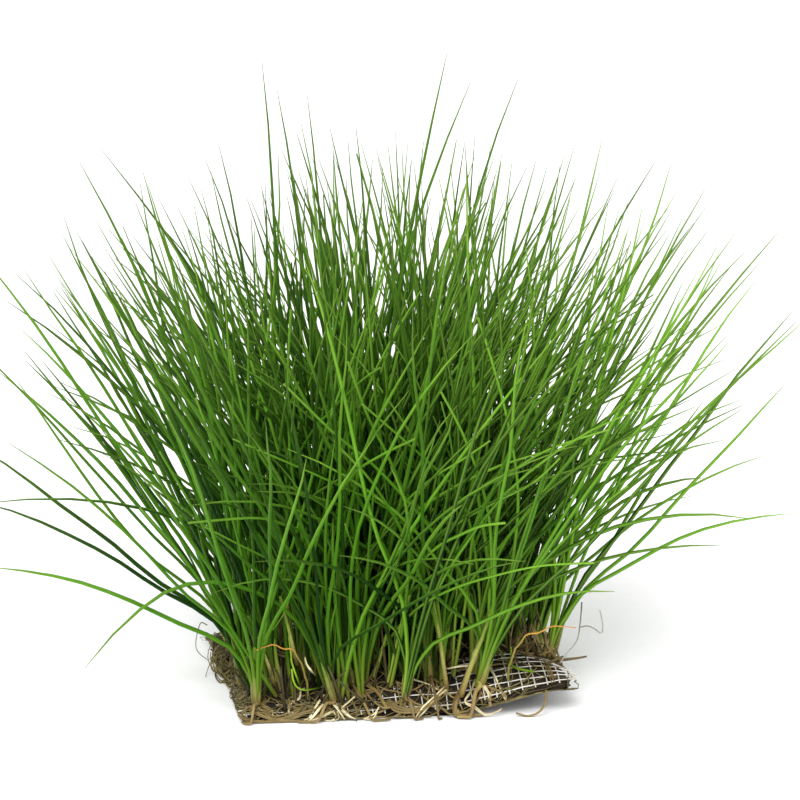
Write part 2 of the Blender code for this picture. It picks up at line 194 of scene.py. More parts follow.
# %% A sweep of pale paper
FLOOR_FRONT, FLOOR_BACK, FLOOR_SIDE, FLOOR_RISE = -3.0, 1.6, 3.5, 2.5
FLOOR_BEND, FLOOR_BEND_STEPS = 0.8, 12
PAPER_DARK, PAPER_LIGHT = (0.86,) * 3, (0.9,) * 3


def build_floor():
    profile = [(FLOOR_FRONT, 0.0), (FLOOR_BACK - FLOOR_BEND, 0.0)]
    for k in range(1, FLOOR_BEND_STEPS + 1):
        turn = math.pi / 2 * k / FLOOR_BEND_STEPS
        rise = FLOOR_BEND * (1 - math.cos(turn))
        profile.append((FLOOR_BACK - FLOOR_BEND + FLOOR_BEND * math.sin(turn), rise))
    profile.append((FLOOR_BACK, FLOOR_RISE))
    corners = [(x, y, z) for y, z in profile for x in (-FLOOR_SIDE, FLOOR_SIDE)]
    faces = [(2 * k, 2 * k + 1, 2 * k + 3, 2 * k + 2) for k in range(len(profile) - 1)]
    mesh = bpy.data.meshes.new("floor")
    mesh.from_pydata(corners, [], faces)
    mesh.shade_smooth()
    paper = Surface("paper")
    grain = paper.ramp(paper.speckle(0.004), [(0, PAPER_DARK), (1, PAPER_LIGHT)])
    mesh.materials.append(paper.finish(grain, 0.9))
    floor = bpy.data.objects.new("floor", mesh)
    bpy.context.scene.collection.objects.link(floor)


build_floor()

# %% Two lamps and a pale sky
LAMP_TARGET = (0, 0, 0.06)
KEY_LAMP = {"place": (-0.9, -2.2, 2.6), "size": 1.8, "power": 140}
FILL_LAMP = {"place": (1.5, -2.2, 1.3), "size": 1.6, "power": 34}
SKY_STRENGTH = 0.62


def add_lamp(name, place, size, power):
    lamp = bpy.data.lights.new(name, "AREA")
    lamp.size = size
    lamp.energy = power
    holder = bpy.data.objects.new(name, lamp)
    holder.location = place
    holder.rotation_euler = (Vector(LAMP_TARGET) - Vector(place)).to_track_quat("-Z", "Y").to_euler()
    bpy.context.scene.collection.objects.link(holder)


def add_sky():
    sky = bpy.data.worlds.new("pale_sky")
    sky.use_nodes = True
    background = sky.node_tree.nodes["Background"]
    background.inputs["Color"].default_value = (1.0, 1.0, 1.0, 1)
    background.inputs["Strength"].default_value = SKY_STRENGTH
    bpy.context.scene.world = sky


add_lamp("key_lamp", **KEY_LAMP)
add_lamp("fill_lamp", **FILL_LAMP)
add_sky()
bpy.context.scene.view_settings.view_transform = "Standard"
print("two lamps, and a sky of strength", SKY_STRENGTH)

# %% [markdown]
# ## The colours of the plant
#
# A blade is pale and yellowish in its crown, fresh green further up, and dull at the tip. Light and shade
# are painted on it as well: one side is lighter than the other, with a painted highlight along that side,
# and blades inside the crowd are painted darker. A colour that changed with height above the floor would
# cut straight across the leaning blades. So every stem that is swept below carries three values on its
# points: `along` runs from 0 at its foot to 1 at its tip, `shade` differs from stem to stem, and on blades
# it is also lower inside the crowd as painted shade, and `side` goes from -1 to 1 round it. The leaf green
# is built from those.

# %% Green blades
def leaf_green():
    leaf = Surface("leaf_green", 1.16)
    along, shade, side = leaf.read("along"), leaf.read("shade"), leaf.read("side")
    fresh = leaf.ramp(along, [
        (0.0, (0.14, 0.115, 0.032)),
        (0.05, (0.165, 0.185, 0.027)),
        (0.13, (0.125, 0.205, 0.018)),
        (0.28, (0.064, 0.172, 0.007)),
        (0.58, (0.058, 0.188, 0.007)),
        (0.88, (0.105, 0.25, 0.018)),
        (1.0, (0.15, 0.27, 0.035)),
    ])
    yellow = leaf.mix(leaf.between(shade, 0.90, 1.0) * 0.35, fresh, (0.18, 0.29, 0.010, 1))
    # Stems with a low shade are mixed towards a very dark green, less so towards the tip. Shade is low at
    # random, and much more often inside the crowd, so this is partly painted shade.
    inside = leaf.between(shade, 0.40, 0.0) * (1 - leaf.between(along, 0.5, 1.0) * 0.6)
    dark = leaf.mix(inside * 0.9, yellow, (0.005, 0.042, 0.003, 1))
    blotches = leaf.speckle(0.0022, stretch=(1, 1, 0.25))
    # Painted light and shade: the value side makes one side of every stem lighter than the other.
    lit_side = leaf.between(side, -0.8, 0.8)
    light = (shade * 0.65 + blotches * 0.5 + 0.35) * (lit_side * 0.45 + 0.75)
    # Painted highlight: a pale green line along one side of every stem.
    painted_highlight = leaf.between(side, 0.5, 0.98) * 0.34
    coloured = leaf.mix(painted_highlight, leaf.dim(dark, light), (0.27, 0.46, 0.06, 1))
    ribs = leaf.speckle(0.0004, stretch=(1, 1, 0.08))
    return leaf.finish(coloured, blotches * 0.25 + 0.35, ribs, 0.00004)


LEAF = leaf_green()

# %% [markdown]
# Crown sheaths are the dry outer leaves that wrap each crown: straw at the foot, turning green above. Roots
# are the same straw colour, browner where they are old. Dead blades turn orange from the tip down. All of
# these are dull and fibrous in the same way, so one function makes them, and it is given their colours along
# the stem, their grain and their roughness.

# %% Straw, roots and dead blades
def straw_like(name, stops, lumps, rough):
    """A dull, fibrous finish whose colour runs along the stem and is lighter or darker from stem to stem."""
    made = Surface(name, 1.35)
    spots = made.speckle(lumps, 3.0)
    light = made.read("shade") * 0.9 + spots * 0.8 + 0.15
    colour = made.dim(made.ramp(made.read("along"), stops), light)
    fibres = made.speckle(lumps / 4, 2.0)
    return made.finish(colour, spots * 0.3 + rough, fibres, 0.00006)


SHEATH = straw_like("crown_straw", [
    (0.0, (0.10, 0.06, 0.018)),
    (0.12, (0.235, 0.18, 0.054)),
    (0.45, (0.19, 0.205, 0.040)),
    (1.0, (0.11, 0.21, 0.012)),
], 0.0012, 0.4)
OLD_STRAW = straw_like("old_straw", [
    (0.0, (0.02, 0.014, 0.005)),
    (0.4, (0.050, 0.037, 0.011)),
    (1.0, (0.065, 0.056, 0.017)),
], 0.0013, 0.5)
ROOT = straw_like("tan_root", [
    (0.0, (0.12, 0.080, 0.026)),
    (0.5, (0.185, 0.135, 0.050)),
    (1.0, (0.12, 0.085, 0.03)),
], 0.0016, 0.45)
PALE_ROOT = straw_like("pale_root", [
    (0.0, (0.42, 0.35, 0.17)),
    (0.5, (0.62, 0.55, 0.36)),
    (1.0, (0.46, 0.38, 0.21)),
], 0.0016, 0.4)
RHIZOME = straw_like("brown_rhizome", [
    (0.0, (0.24, 0.23, 0.05)),
    (0.2, (0.24, 0.175, 0.055)),
    (0.6, (0.15, 0.095, 0.03)),
    (1.0, (0.22, 0.165, 0.06)),
], 0.0014, 0.4)
DEAD = straw_like("dead_blade", [
    (0.0, (0.13, 0.13, 0.03)),
    (0.42, (0.20, 0.15, 0.03)),
    (0.6, (0.42, 0.22, 0.035)),
    (1.0, (0.36, 0.14, 0.03)),
], 0.0018, 0.4)
HAIR = straw_like("grey_hair", [(0.0, (0.16, 0.15, 0.10)), (1.0, (0.34, 0.33, 0.28))], 0.002, 0.5)
FELT = straw_like("olive_felt", [
    (0.0, (0.09, 0.078, 0.027)),
    (0.5, (0.19, 0.155, 0.058)),
    (1.0, (0.05, 0.042, 0.015)),
], 0.0012, 0.55)

# %% [markdown]
# Peat is nearly black, with brown grains and a few straw-coloured fibres in it. The net is a pale plastic
# that has taken on some of the peat's brown. Both get their detail from noise on the object's own
# coordinates: one noise for broad patches and a finer one for grain and relief.

# %% Peat and net plastic
def peat_black():
    peat = Surface("peat_black", 1.25)
    lumps, grains = peat.speckle(0.004, 4.0), peat.speckle(0.0007, 3.0)
    colour = peat.mix(lumps, (0.004, 0.0035, 0.0035, 1), (0.034, 0.024, 0.012, 1))
    fibres = peat.between(peat.speckle(0.0016, 1.0, (1, 0.12, 1)), 0.62, 0.70)
    colour = peat.mix(fibres * 0.35, colour, (0.16, 0.115, 0.05, 1))
    return peat.finish(peat.dim(colour, grains * 1.4 + 0.3), grains * 0.3 + 0.7, grains, 0.0006)


def net_white():
    plastic = Surface("net_plastic_white", 1.45)
    dirt = plastic.between(plastic.speckle(0.006, 3.0), 0.40, 0.66)
    colour = plastic.mix(dirt * 0.6, (0.64, 0.62, 0.57, 1), (0.27, 0.22, 0.12, 1))
    scuffs = plastic.speckle(0.0005)
    return plastic.finish(colour, dirt * 0.35 + 0.35, scuffs, 0.00005)


PEAT, NET = peat_black(), net_white()

# %% [markdown]
# ## Stems drawn by Geometry Nodes
#
# Blades, roots and net strands are all the same thing to Blender: a round stem along a line. Each could be
# a curve object with a bevel, but hundreds of objects are slow and can't share attributes. So the lines are
# kept as chains of points, and one node tree turns every chain into a curve, sweeps a small circle along
# it, as thick as the attribute `thick` says, and writes `side` round the circle. Its inputs say how many
# sides the stems get and what they are made of.

# %% The tree that sweeps stems
def tree_with(name, inputs):
    """An empty node tree with named inputs, and its two end nodes."""
    tree = bpy.data.node_groups.new(name, "GeometryNodeTree")
    for label, kind in [("Geometry", "Geometry"), *inputs]:
        tree.interface.new_socket(label, in_out="INPUT", socket_type="NodeSocket" + kind)
    tree.interface.new_socket("Geometry", in_out="OUTPUT", socket_type="NodeSocketGeometry")
    return tree, tree.nodes.new("NodeGroupInput"), tree.nodes.new("NodeGroupOutput")


def geometry_node(tree, kind, settings, inputs):
    made = tree.nodes.new(kind)
    for name, value in settings.items():
        setattr(made, name, value)
    for socket, value in inputs.items():
        if isinstance(value, bpy.types.NodeSocket):
            tree.links.new(value, made.inputs[socket])
        else:
            made.inputs[socket].default_value = value
    return made.outputs


def end_tree(tree, geometry, given, result):
    """The last nodes of every tree: instances become real, and what comes out gets its material."""
    whole = geometry_node(tree, "GeometryNodeRealizeInstances", {}, {"Geometry": geometry})
    finished = geometry_node(tree, "GeometryNodeSetMaterial", {}, {
        "Geometry": whole[0], "Material": given.outputs["Surface"],
    })
    tree.links.new(finished[0], result.inputs["Geometry"])
    return tree


def sweep_tree():
    tree, given, result = tree_with("stem_sweep", [("Sides", "Int"), ("Surface", "Material")])
    circle = geometry_node(tree, "GeometryNodeCurvePrimitiveCircle", {}, {
        "Resolution": given.outputs["Sides"], "Radius": 1.0,
    })
    round_it = geometry_node(tree, "GeometryNodeSplineParameter", {}, {})
    turn = geometry_node(tree, "ShaderNodeMath", {"operation": "MULTIPLY"}, {
        0: round_it["Factor"], 1: math.tau,
    })
    side = geometry_node(tree, "ShaderNodeMath", {"operation": "COSINE"}, {0: turn[0]})
    profile = geometry_node(tree, "GeometryNodeStoreNamedAttribute", {"domain": "POINT"}, {
        "Geometry": circle[0], "Name": "side", "Value": side[0],
    })
    lines = geometry_node(tree, "GeometryNodeMeshToCurve", {}, {"Mesh": given.outputs["Geometry"]})
    thick = geometry_node(tree, "GeometryNodeInputNamedAttribute", {}, {"Name": "thick"})
    swept = geometry_node(tree, "GeometryNodeCurveToMesh", {}, {
        "Curve": lines[0], "Profile Curve": profile[0], "Scale": thick["Attribute"], "Fill Caps": True,
    })
    soft = geometry_node(tree, "GeometryNodeSetShadeSmooth", {}, {"Geometry": swept[0]})
    return end_tree(tree, soft[0], given, result)


SWEEP = sweep_tree()

# %% [markdown]
# A tree only lives in a modifier. `through_tree` runs an object through one and keeps the plain mesh that
# comes out, so no modifier is left on a finished piece. `own` says what the piece rides on and which solids
# it stands for.

# %% From a tree to a plain mesh
def add_object(name, mesh):
    made = bpy.data.objects.new(name, mesh)
    bpy.context.scene.collection.objects.link(made)
    return made


def through_tree(name, source, tree, values):
    """A new object with the mesh that the tree makes of the source's mesh."""
    holder = add_object(name + "_source", source)
    modifier = holder.modifiers.new("tree", "NODES")
    modifier.node_group = tree
    for item in tree.interface.items_tree:
        if item.in_out == "INPUT" and item.name in values:
            modifier[item.identifier] = values[item.name]
    seen = holder.evaluated_get(bpy.context.evaluated_depsgraph_get())
    mesh = bpy.data.meshes.new_from_object(seen)
    mesh.name = name
    bpy.data.objects.remove(holder)
    return add_object(name, mesh)


def own(piece, nodes):
    """Says what a finished piece rides on, and hides the solids it stands for."""
    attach(piece, "root")
    if nodes:
        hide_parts(*nodes)
    print(piece.name, "has", sum(len(face.vertices) - 2 for face in piece.data.polygons), "triangles")

# %% [markdown]
# A bundle gathers the chains of points of one piece, with the three values that the tree and the materials
# read. Hundreds of stems then go through the tree at once, as one mesh of loose edges.

# %% A bundle of stems
class Stems:
    """Chains of points that are swept together. A stem that would dip into the floor lies on it instead."""

    def __init__(self):
        self.places, self.edges, self.values = [], [], {"thick": [], "along": [], "shade": []}

    def add(self, points, radii, shade, low=0.0, high=1.0):
        """One stem, whose value `along` runs from low to high."""
        first, last = len(self.places), len(points) - 1
        self.places += [(point[0], point[1], max(point[2], radius)) for point, radius in zip(points, radii)]
        self.edges += [(first + k, first + k + 1) for k in range(last)]
        self.values["thick"] += radii
        self.values["along"] += [low + (high - low) * k / last for k in range(last + 1)]
        self.values["shade"] += [shade] * (last + 1)

    def draw(self, name, surface, sides):
        mesh = bpy.data.meshes.new(name)
        mesh.from_pydata(self.places, self.edges, [])
        for value, numbers in self.values.items():
            mesh.attributes.new(value, "FLOAT", "POINT").data.foreach_set("value", numbers)
        return through_tree(name, mesh, SWEEP, {"Sides": sides, "Surface": surface})


def tapering(radius, loss, count):
    """The thickness at each of a stem's points, which falls evenly by a share of itself."""
    return [radius * (1 - loss * k / (count - 1)) for k in range(count)]

# %% [markdown]
# ## The slab of roots and peat
#
# The real slab is a felt of roots with peat in it, a low cushion with a ragged rim, and its front right
# corner curls up off the ground. It could be sculpted, but then the roots, the net and the blades would
# have nothing to be placed by. So the same few sums as in the solid model say how high the slab is
# anywhere. The piece is one closed shell: an upper and a lower skin of fine squares, joined round the rim
# by a few rows of faces, and every point is pushed about by noise so that the edge crumbles.

# %% How high the slab is
NET_PITCH = 6.2 * MM
NET_COLUMNS = 14
NET_ROWS = 12
MAT_WIDTH = (NET_COLUMNS - 1) * NET_PITCH
MAT_DEPTH = (NET_ROWS - 1) * NET_PITCH
BACK_WIDER = 0.12
BACK_SHIFT = 2.5 * MM
MAT_EDGE = 2.6 * MM
MAT_MIDDLE = 8.0 * MM
MAT_RIPPLE = 0.7 * MM
RIM_LEAST = 1.6 * MM
CURL = 6.0 * MM
CURL_FROM_X = 6.0 * MM
CURL_FROM_Y = 12.0 * MM


def ramp(value):
    share = min(1.0, max(0.0, value))
    return share * share * (3 - 2 * share)


def mat_lift(x, y):
    across = ramp((x - CURL_FROM_X) / (MAT_WIDTH / 2 - CURL_FROM_X))
    forward = ramp((CURL_FROM_Y - y) / (MAT_DEPTH / 2 + CURL_FROM_Y))
    return CURL * across * forward


def mat_top(x, y):
    u, v = x / (MAT_WIDTH / 2), y / (MAT_DEPTH / 2)
    cushion = (1 - u**4) * (1 - v**4)
    ripple = math.sin(5.1 * u + 0.8) * math.sin(4.3 * v - 0.5) * min(1.0, 2 * cushion)
    return mat_lift(x, y) + MAT_EDGE + (MAT_MIDDLE - MAT_EDGE) * cushion + MAT_RIPPLE * ripple


def slab_top(x, y):
    """The slab's upper side as it is seen, with some thickness left where the mat is wider at the back."""
    return max(mat_top(x, y), mat_lift(x, y) + RIM_LEAST)

# %% Where the net crosses, and where it lies bare
CORNER_BARE = (8 * MM, 8 * MM), (9 * MM, 8 * MM)  # to the right and forward: where it begins, and how softly
MIDDLE_BARE = (-9 * MM, 5 * MM), (27 * MM, 3 * MM)
MIDDLE_BARENESS = 0.8


def crossing(column, row):
    """The middle of a crossing of two net strands, seen from above."""
    backward = row / (NET_ROWS - 1)
    x = (column * NET_PITCH - MAT_WIDTH / 2) * (1 + BACK_WIDER * backward) - BACK_SHIFT * backward
    return x, row * NET_PITCH - MAT_DEPTH / 2


def beyond(x, y, right, forward):
    return ramp((x - right[0]) / right[1]) * ramp((-y - forward[0]) / forward[1])


def bareness(x, y):
    """1 where the net lies bare on black peat, falling to 0 where plants have grown over it."""
    return max(beyond(x, y, *CORNER_BARE), beyond(x, y, *MIDDLE_BARE) * MIDDLE_BARENESS)


def on_slab(x, y, above):
    """A point over the slab, or in it if above is negative."""
    return Vector((x, y, slab_top(x, y) + above))


print("the mat is", round(MAT_WIDTH / MM, 1), "by", round(MAT_DEPTH / MM, 1), "mm at its front edge")

# %% A point of the slab
SLAB_ACROSS, SLAB_DEEP, SLAB_WALL = 104, 88, 4  # squares, and rows of faces down the rim
SLAB_OFF_FLOOR = 0.02 * MM
SLAB_LEAST = 0.5 * MM
SLAB_BITE, SLAB_BITE_WIDE, SLAB_BITE_SQUARES = 2.3 * MM, 3.5 * MM, 4
SLAB_BULGE = 0.9 * MM
SLAB_ROUGH, SLAB_LUMP, SLAB_CRUMB = 0.6 * MM, 2.6 * MM, 1.1 * MM


def wobble(place, size, seed=0.0):
    """Smooth noise from -1 to 1 whose lumps are about size wide."""
    return noise.noise(Vector(place) / size + Vector((seed, seed * 1.7, -seed)))


def slab_point(i, j, level):
    """A point of the slab: level is 0 on the lower skin and 1 on the upper one."""
    x, y = crossing((NET_COLUMNS - 1) * i / SLAB_ACROSS, (NET_ROWS - 1) * j / SLAB_DEEP)
    edge = min(i, SLAB_ACROSS - i, j, SLAB_DEEP - j)
    torn = SLAB_BITE * (0.5 + 0.7 * wobble((x, y, 0), SLAB_BITE_WIDE, level))
    bite = torn * max(0.0, 1 - edge / SLAB_BITE_SQUARES)
    bulge = SLAB_BULGE * math.sin(math.pi * level) * (edge == 0)
    inward = Vector(((i == 0) - (i == SLAB_ACROSS), (j == 0) - (j == SLAB_DEEP), 0))
    lumps = wobble((x, y, level * 0.01), SLAB_LUMP) + 0.6 * wobble((x, y, 0), SLAB_CRUMB, 3.0)
    low = mat_lift(x, y) + SLAB_OFF_FLOOR
    thick = max(SLAB_LEAST, slab_top(x, y) - low + SLAB_ROUGH * (lumps - 0.4))
    return Vector((x, y, low + thick * level)) + inward * (bite - bulge)

# %% Build the slab
def slab_rim():
    """The rim's points, once round."""
    return (
        [(i, 0) for i in range(SLAB_ACROSS)]
        + [(SLAB_ACROSS, j) for j in range(SLAB_DEEP)]
        + [(i, SLAB_DEEP) for i in range(SLAB_ACROSS, 0, -1)]
        + [(0, j) for j in range(SLAB_DEEP, 0, -1)]
    )


def build_slab():
    wide, deep = SLAB_ACROSS + 1, SLAB_DEEP + 1
    skin, rim = wide * deep, slab_rim()
    places = [slab_point(i, j, level) for level in (0, 1) for j in range(deep) for i in range(wide)]
    faces = []
    for j in range(SLAB_DEEP):
        for i in range(SLAB_ACROSS):
            ring = [j * wide + i, j * wide + i + 1, (j + 1) * wide + i + 1, (j + 1) * wide + i]
            faces += [[skin + k for k in ring], ring[::-1]]
    rows = [[j * wide + i for i, j in rim]]
    for level in range(1, SLAB_WALL):
        rows.append(list(range(len(places), len(places) + len(rim))))
        places += [slab_point(i, j, level / SLAB_WALL) for i, j in rim]
    rows.append([skin + k for k in rows[0]])
    for low, high in zip(rows, rows[1:]):
        for k in range(len(rim)):
            n = (k + 1) % len(rim)
            faces.append([low[k], low[n], high[n], high[k]])
    mesh = bpy.data.meshes.new("peat_slab")
    mesh.from_pydata([tuple(place) for place in places], [], faces)
    grown = [1 - bareness(place.x, place.y) for place in places]
    mesh.attributes.new("grown", "FLOAT", "POINT").data.foreach_set("value", grown)
    mesh.shade_smooth()
    mesh.materials.append(PEAT)
    return add_object("peat_slab", mesh)


slab = build_slab()
own(slab, ["root_mat"])

# %% [markdown]
# Loose grains of peat lie on the slab, and short fibres stick out of it on all sides. Particles could do
# this, but they don't survive as a mesh. A second tree scatters both: it spreads random points over the
# slab's upper and outer faces, and puts a small copy of a shape on each, turned and sized at random from a
# fixed seed. The shape is made in the tree as well: a lump with twenty faces, or a thin bent rod.

# %% Shapes to scatter, and a random value
def lump(tree):
    return geometry_node(tree, "GeometryNodeMeshIcoSphere", {}, {"Radius": 1.0, "Subdivisions": 1})[0]


def fibre(tree):
    bow = geometry_node(tree, "GeometryNodeCurveArc", {}, {
        "Resolution": 5, "Radius": 1.0, "Sweep Angle": 1.3,
    })
    round_it = geometry_node(tree, "GeometryNodeCurvePrimitiveCircle", {}, {"Resolution": 3, "Radius": 0.05})
    rod = geometry_node(tree, "GeometryNodeCurveToMesh", {}, {
        "Curve": bow[0], "Profile Curve": round_it[0], "Fill Caps": True,
    })
    return rod[0]


def random_value(tree, kind, low, high, seed):
    made = tree.nodes.new("FunctionNodeRandomValue")
    made.data_type = kind
    sockets = [socket for socket in made.inputs if socket.enabled]
    for socket, value in zip(sockets, (low, high)):
        if isinstance(value, bpy.types.NodeSocket):
            tree.links.new(value, socket)
        else:
            socket.default_value = value
    tree.links.new(seed, made.inputs["Seed"])
    return next(socket for socket in made.outputs if socket.enabled)

# %% The tree that scatters
def scatter_tree(name, shape):
    tree, given, result = tree_with(name, [
        ("Density", "Float"), ("Smallest", "Float"), ("Largest", "Float"),
        ("Seed", "Int"), ("Surface", "Material"),
    ])
    seed = given.outputs["Seed"]
    facing = geometry_node(tree, "GeometryNodeInputNormal", {}, {})
    height = geometry_node(tree, "ShaderNodeSeparateXYZ", {}, {0: facing[0]})[2]
    not_below = geometry_node(tree, "ShaderNodeMath", {"operation": "GREATER_THAN"}, {0: height, 1: -0.2})
    grown = geometry_node(tree, "GeometryNodeInputNamedAttribute", {}, {"Name": "grown"})["Attribute"]
    density = geometry_node(tree, "ShaderNodeMath", {"operation": "MULTIPLY"}, {
        0: given.outputs["Density"], 1: grown,
    })
    points = geometry_node(tree, "GeometryNodeDistributePointsOnFaces", {}, {
        "Mesh": given.outputs["Geometry"], "Selection": not_below[0], "Density": density[0], "Seed": seed,
    })
    size = random_value(tree, "FLOAT", given.outputs["Smallest"], given.outputs["Largest"], seed)
    turn = random_value(tree, "FLOAT_VECTOR", (0, 0, 0), (math.tau,) * 3, seed)
    set_on = geometry_node(tree, "GeometryNodeInstanceOnPoints", {}, {
        "Points": points[0], "Instance": shape(tree), "Rotation": turn, "Scale": size,
    })
    return end_tree(tree, set_on[0], given, result)

# %% Scatter grains and fibres
GRAINS_PER_M2, GRAIN_SIZES = 380_000.0, (0.18 * MM, 0.65 * MM)
FIBRES_PER_M2, FIBRE_SIZES = 130_000.0, (1.0 * MM, 3.2 * MM)
JUST_OFF_FLOOR = 0.01 * MM


def scatter(name, shape, per_m2, sizes, seed, surface):
    """Scatters one shape over the slab, as a piece of its own that belongs to the slab."""
    piece = through_tree(name, slab.data.copy(), scatter_tree(name, shape), {
        "Density": per_m2, "Smallest": sizes[0], "Largest": sizes[1], "Seed": seed, "Surface": surface,
    })
    for vertex in piece.data.vertices:
        vertex.co.z = max(vertex.co.z, JUST_OFF_FLOOR)
    own(piece, ["root_mat"])


scatter("peat_grains", lump, GRAINS_PER_M2, GRAIN_SIZES, 5, PEAT)
scatter("peat_fibres", fibre, FIBRES_PER_M2, FIBRE_SIZES, 6, FELT)

# %% [markdown]
# ## The net
#
# The real net is extruded plastic with a strand every 3.1 mm, twice as close as in the solid model. A grid
# with a Wireframe modifier would lie flat and stop dead at its border. Swept strands can follow the slab
# and end in cut stubs that stand out past the last crossing. At the front right corner the net lies bare.
# Everywhere else the plants have grown over it, so there it runs half sunk in the slab.

# %% Draw the strands
STRAND, STRAND_SIDES = 0.15 * MM, 6
FINE = 2  # strands for each one of the solid model
STUB = 1.9 * MM
NET_OVER, NET_SUNK = 0.3 * MM, 0.75 * MM
NET_WAVE, NET_WAVE_WIDE = 0.35 * MM, 6 * MM
NET_DRIFT, NET_DRIFT_WIDE = 0.3 * MM, 9 * MM


def net_point(column, row):
    x, y = crossing(column, row)
    over = NET_OVER - NET_SUNK * (1 - bareness(x, y)) + NET_WAVE * wobble((x, y, 0), NET_WAVE_WIDE, 9.0)
    top = slab_top(x, y)
    x += NET_DRIFT * wobble((x, y, 0), NET_DRIFT_WIDE, 7.0)
    y += NET_DRIFT * wobble((x, y, 0), NET_DRIFT_WIDE, 8.0)
    return Vector((x, y, top + over))


def net_line(stems, places, dice):
    """One strand through its crossings, with a stub at each end."""
    points = [net_point(*place) for place in places]
    for end, inner in ((0, 1), (-1, -2)):
        out = (points[end] - points[inner]).normalized()
        stub = points[end] + out * STUB * dice.uniform(0.4, 1.0)
        points.insert(0 if end == 0 else len(points), stub)
    radii = [STRAND * dice.uniform(0.85, 1.25) for _ in points]
    stems.add(points, radii, dice.random())


def build_net():
    dice, stems = random.Random(4), Stems()
    columns = [k / FINE for k in range((NET_COLUMNS - 1) * FINE + 1)]
    rows = [k / FINE for k in range((NET_ROWS - 1) * FINE + 1)]
    for column in columns:
        net_line(stems, [(column, row) for row in rows], dice)
    for row in rows:
        net_line(stems, [(column, row) for column in columns], dice)
    return stems.draw("net_strands", NET, STRAND_SIDES)


own(build_net(), ["net"])

# %% [markdown]
# ## Where the blades run
#
# The solid model draws its blades from a seeded plan: a crown in every third cell of the net, eight sectors
# in each crown, and in each sector one blade that keeps clear of all the others. The visible blades could
# follow the solids' meshes, but a fresh line sweeps into a cleaner stem. So the same plan is drawn up here,
# with the same dice, and each of these blades covers its solid. First come the lone blades that stand out of
# the crowd, then the crowd itself. A lone blade is given by its crown's cell, its azimuth, its lean at the
# foot and at the tip, and its length.

# %% The plan's measures
GAP = 0.3 * MM
SEED = 11
BARE_CELLS = {(12, 0), (10, 1), (11, 2)}
CROWN_JITTER = 1.1 * MM
CROWN_FOOT = 1.3 * MM
CROWN_NECK = 1.15 * MM
CROWN_HEIGHT = 5.0 * MM
TUFT_LEAN_X = 10.0
TUFT_LEAN_Y = 12.0
TUFT_LEAN_NOISE = 7.0
BLADES_PER_TUFT = 8
SECTOR = math.tau / BLADES_PER_TUFT
SECTOR_DRIFT = 0.25
BLADE_RADIUS = 0.5 * MM
BLADE_LENGTH = 126.0 * MM
BLADE_LENGTH_NOISE = 8.0 * MM
EDGE_SHORTER = 31.0 * MM
BLADE_SPREAD = (3.0, 26.0)
CROWD_LEAN = 37.0
CROWD_DEPTH = 200.0 * MM
BLADE_BEND = (0.0, 18.0)
LEAN_BENDS = 0.1
STRETCH_BEND = 23.0
BLADE_CLEARANCE = 1.2 * MM
CROWN_CLEARANCE = 2.2 * MM
TRIES = 200
LONE_DRIFT = 2.0
DEAD_STEPS = 6
DEAD_RADIUS = 0.45 * MM

LONE_BLADES = [
    (0, 0, 184, 40, 82, 76),
    (3, 0, 184, 24, 142, 112),
    (0, 3, 182, 38, 74, 82),
    (0, 3, 176, 42, 56, 88),
    (0, 6, 180, 35, 43, 106),
    (0, 6, 186, 45, 31, 92),
    (1, 4, 182, 28, 33, 114),
    (1, 7, 176, 28, 20, 120),
    (4, 4, 182, 14, 40, 142),
    (0, 9, 170, 15, 6, 122),
    (3, 3, 190, 9, 5, 148),
    (4, 1, 4, 5, 12, 153),
    (3, 6, 2, 9, 21, 148),
    (6, 6, 6, 7, 20, 146),
    (10, 4, 350, 22, 18, 128),
    (12, 3, 10, 33, 44, 104),
    (12, 6, 356, 24, 35, 108),
    (12, 3, 352, 38, 41, 88),
    (12, 6, 340, 26, 72, 82),
    (12, 3, 340, 33, 84, 76),
    (9, 3, 344, 29, 94, 90),
    (6, 0, 338, 40, 84, 62),
    (6, 0, 196, 20, 104, 76),
    (9, 0, 200, 16, 66, 88),
    (12, 9, 20, 30, 50, 96),
    (0, 9, 150, 34, 58, 98),
    (6, 9, 96, 10, 26, 132),
    (1, 10, 110, 20, 38, 108),
    (10, 10, 74, 18, 40, 106),
]
DEAD_BLADES = {
    "dead_blade_left": ((2, 0), (-25.5, -35.5, 23.0), (-38.0, -38.5, 20.0)),
    "dead_blade_right": ((10, 0), (24.0, -35.0, 24.0), (41.0, -35.0, 22.5)),
}

# %% [markdown]
# A crown stands about upright in the middle of the mat and leans outwards near its rim. It is described by
# its foot, its neck, where the blades part, and three directions of its own.

# %% Crowns and how they lean
def direction(azimuth, lean):
    """Unit vector that leans away from upright by lean, towards azimuth, both in radians."""
    return Vector((math.sin(lean) * math.cos(azimuth), math.sin(lean) * math.sin(azimuth), math.cos(lean)))


def mat_share(x, y):
    """How far a place is from the mat's middle, as a share of the way to its right and to its back edge."""
    return 2 * x / MAT_WIDTH, 2 * y / MAT_DEPTH


def upward(x, y, spread, dice):
    """The way up for a plant at this place of the mat, give or take the spread in degrees."""
    u, v = mat_share(x, y)
    lean_x = math.radians(TUFT_LEAN_X * u + dice.gauss(0, spread))
    lean_y = math.radians(TUFT_LEAN_Y * v + dice.gauss(0, spread))
    return Vector((math.tan(lean_x), math.tan(lean_y), 1)).normalized()


def crown_at(foot, axis, turn, reach):
    side = (Vector((1, 0, 0)) - axis * axis.x).normalized()
    return {
        "foot": foot, "neck": foot + axis * CROWN_HEIGHT, "axis": axis, "side": side,
        "other": axis.cross(side), "turn": turn, "reach": reach, "blades": {},
    }


def tuft_cells():
    return [
        (column, row)
        for row in range(NET_ROWS - 1)
        for column in range(NET_COLUMNS - 1)
        if (column + 2 * row) % 3 == 0 and (column, row) not in BARE_CELLS
    ]


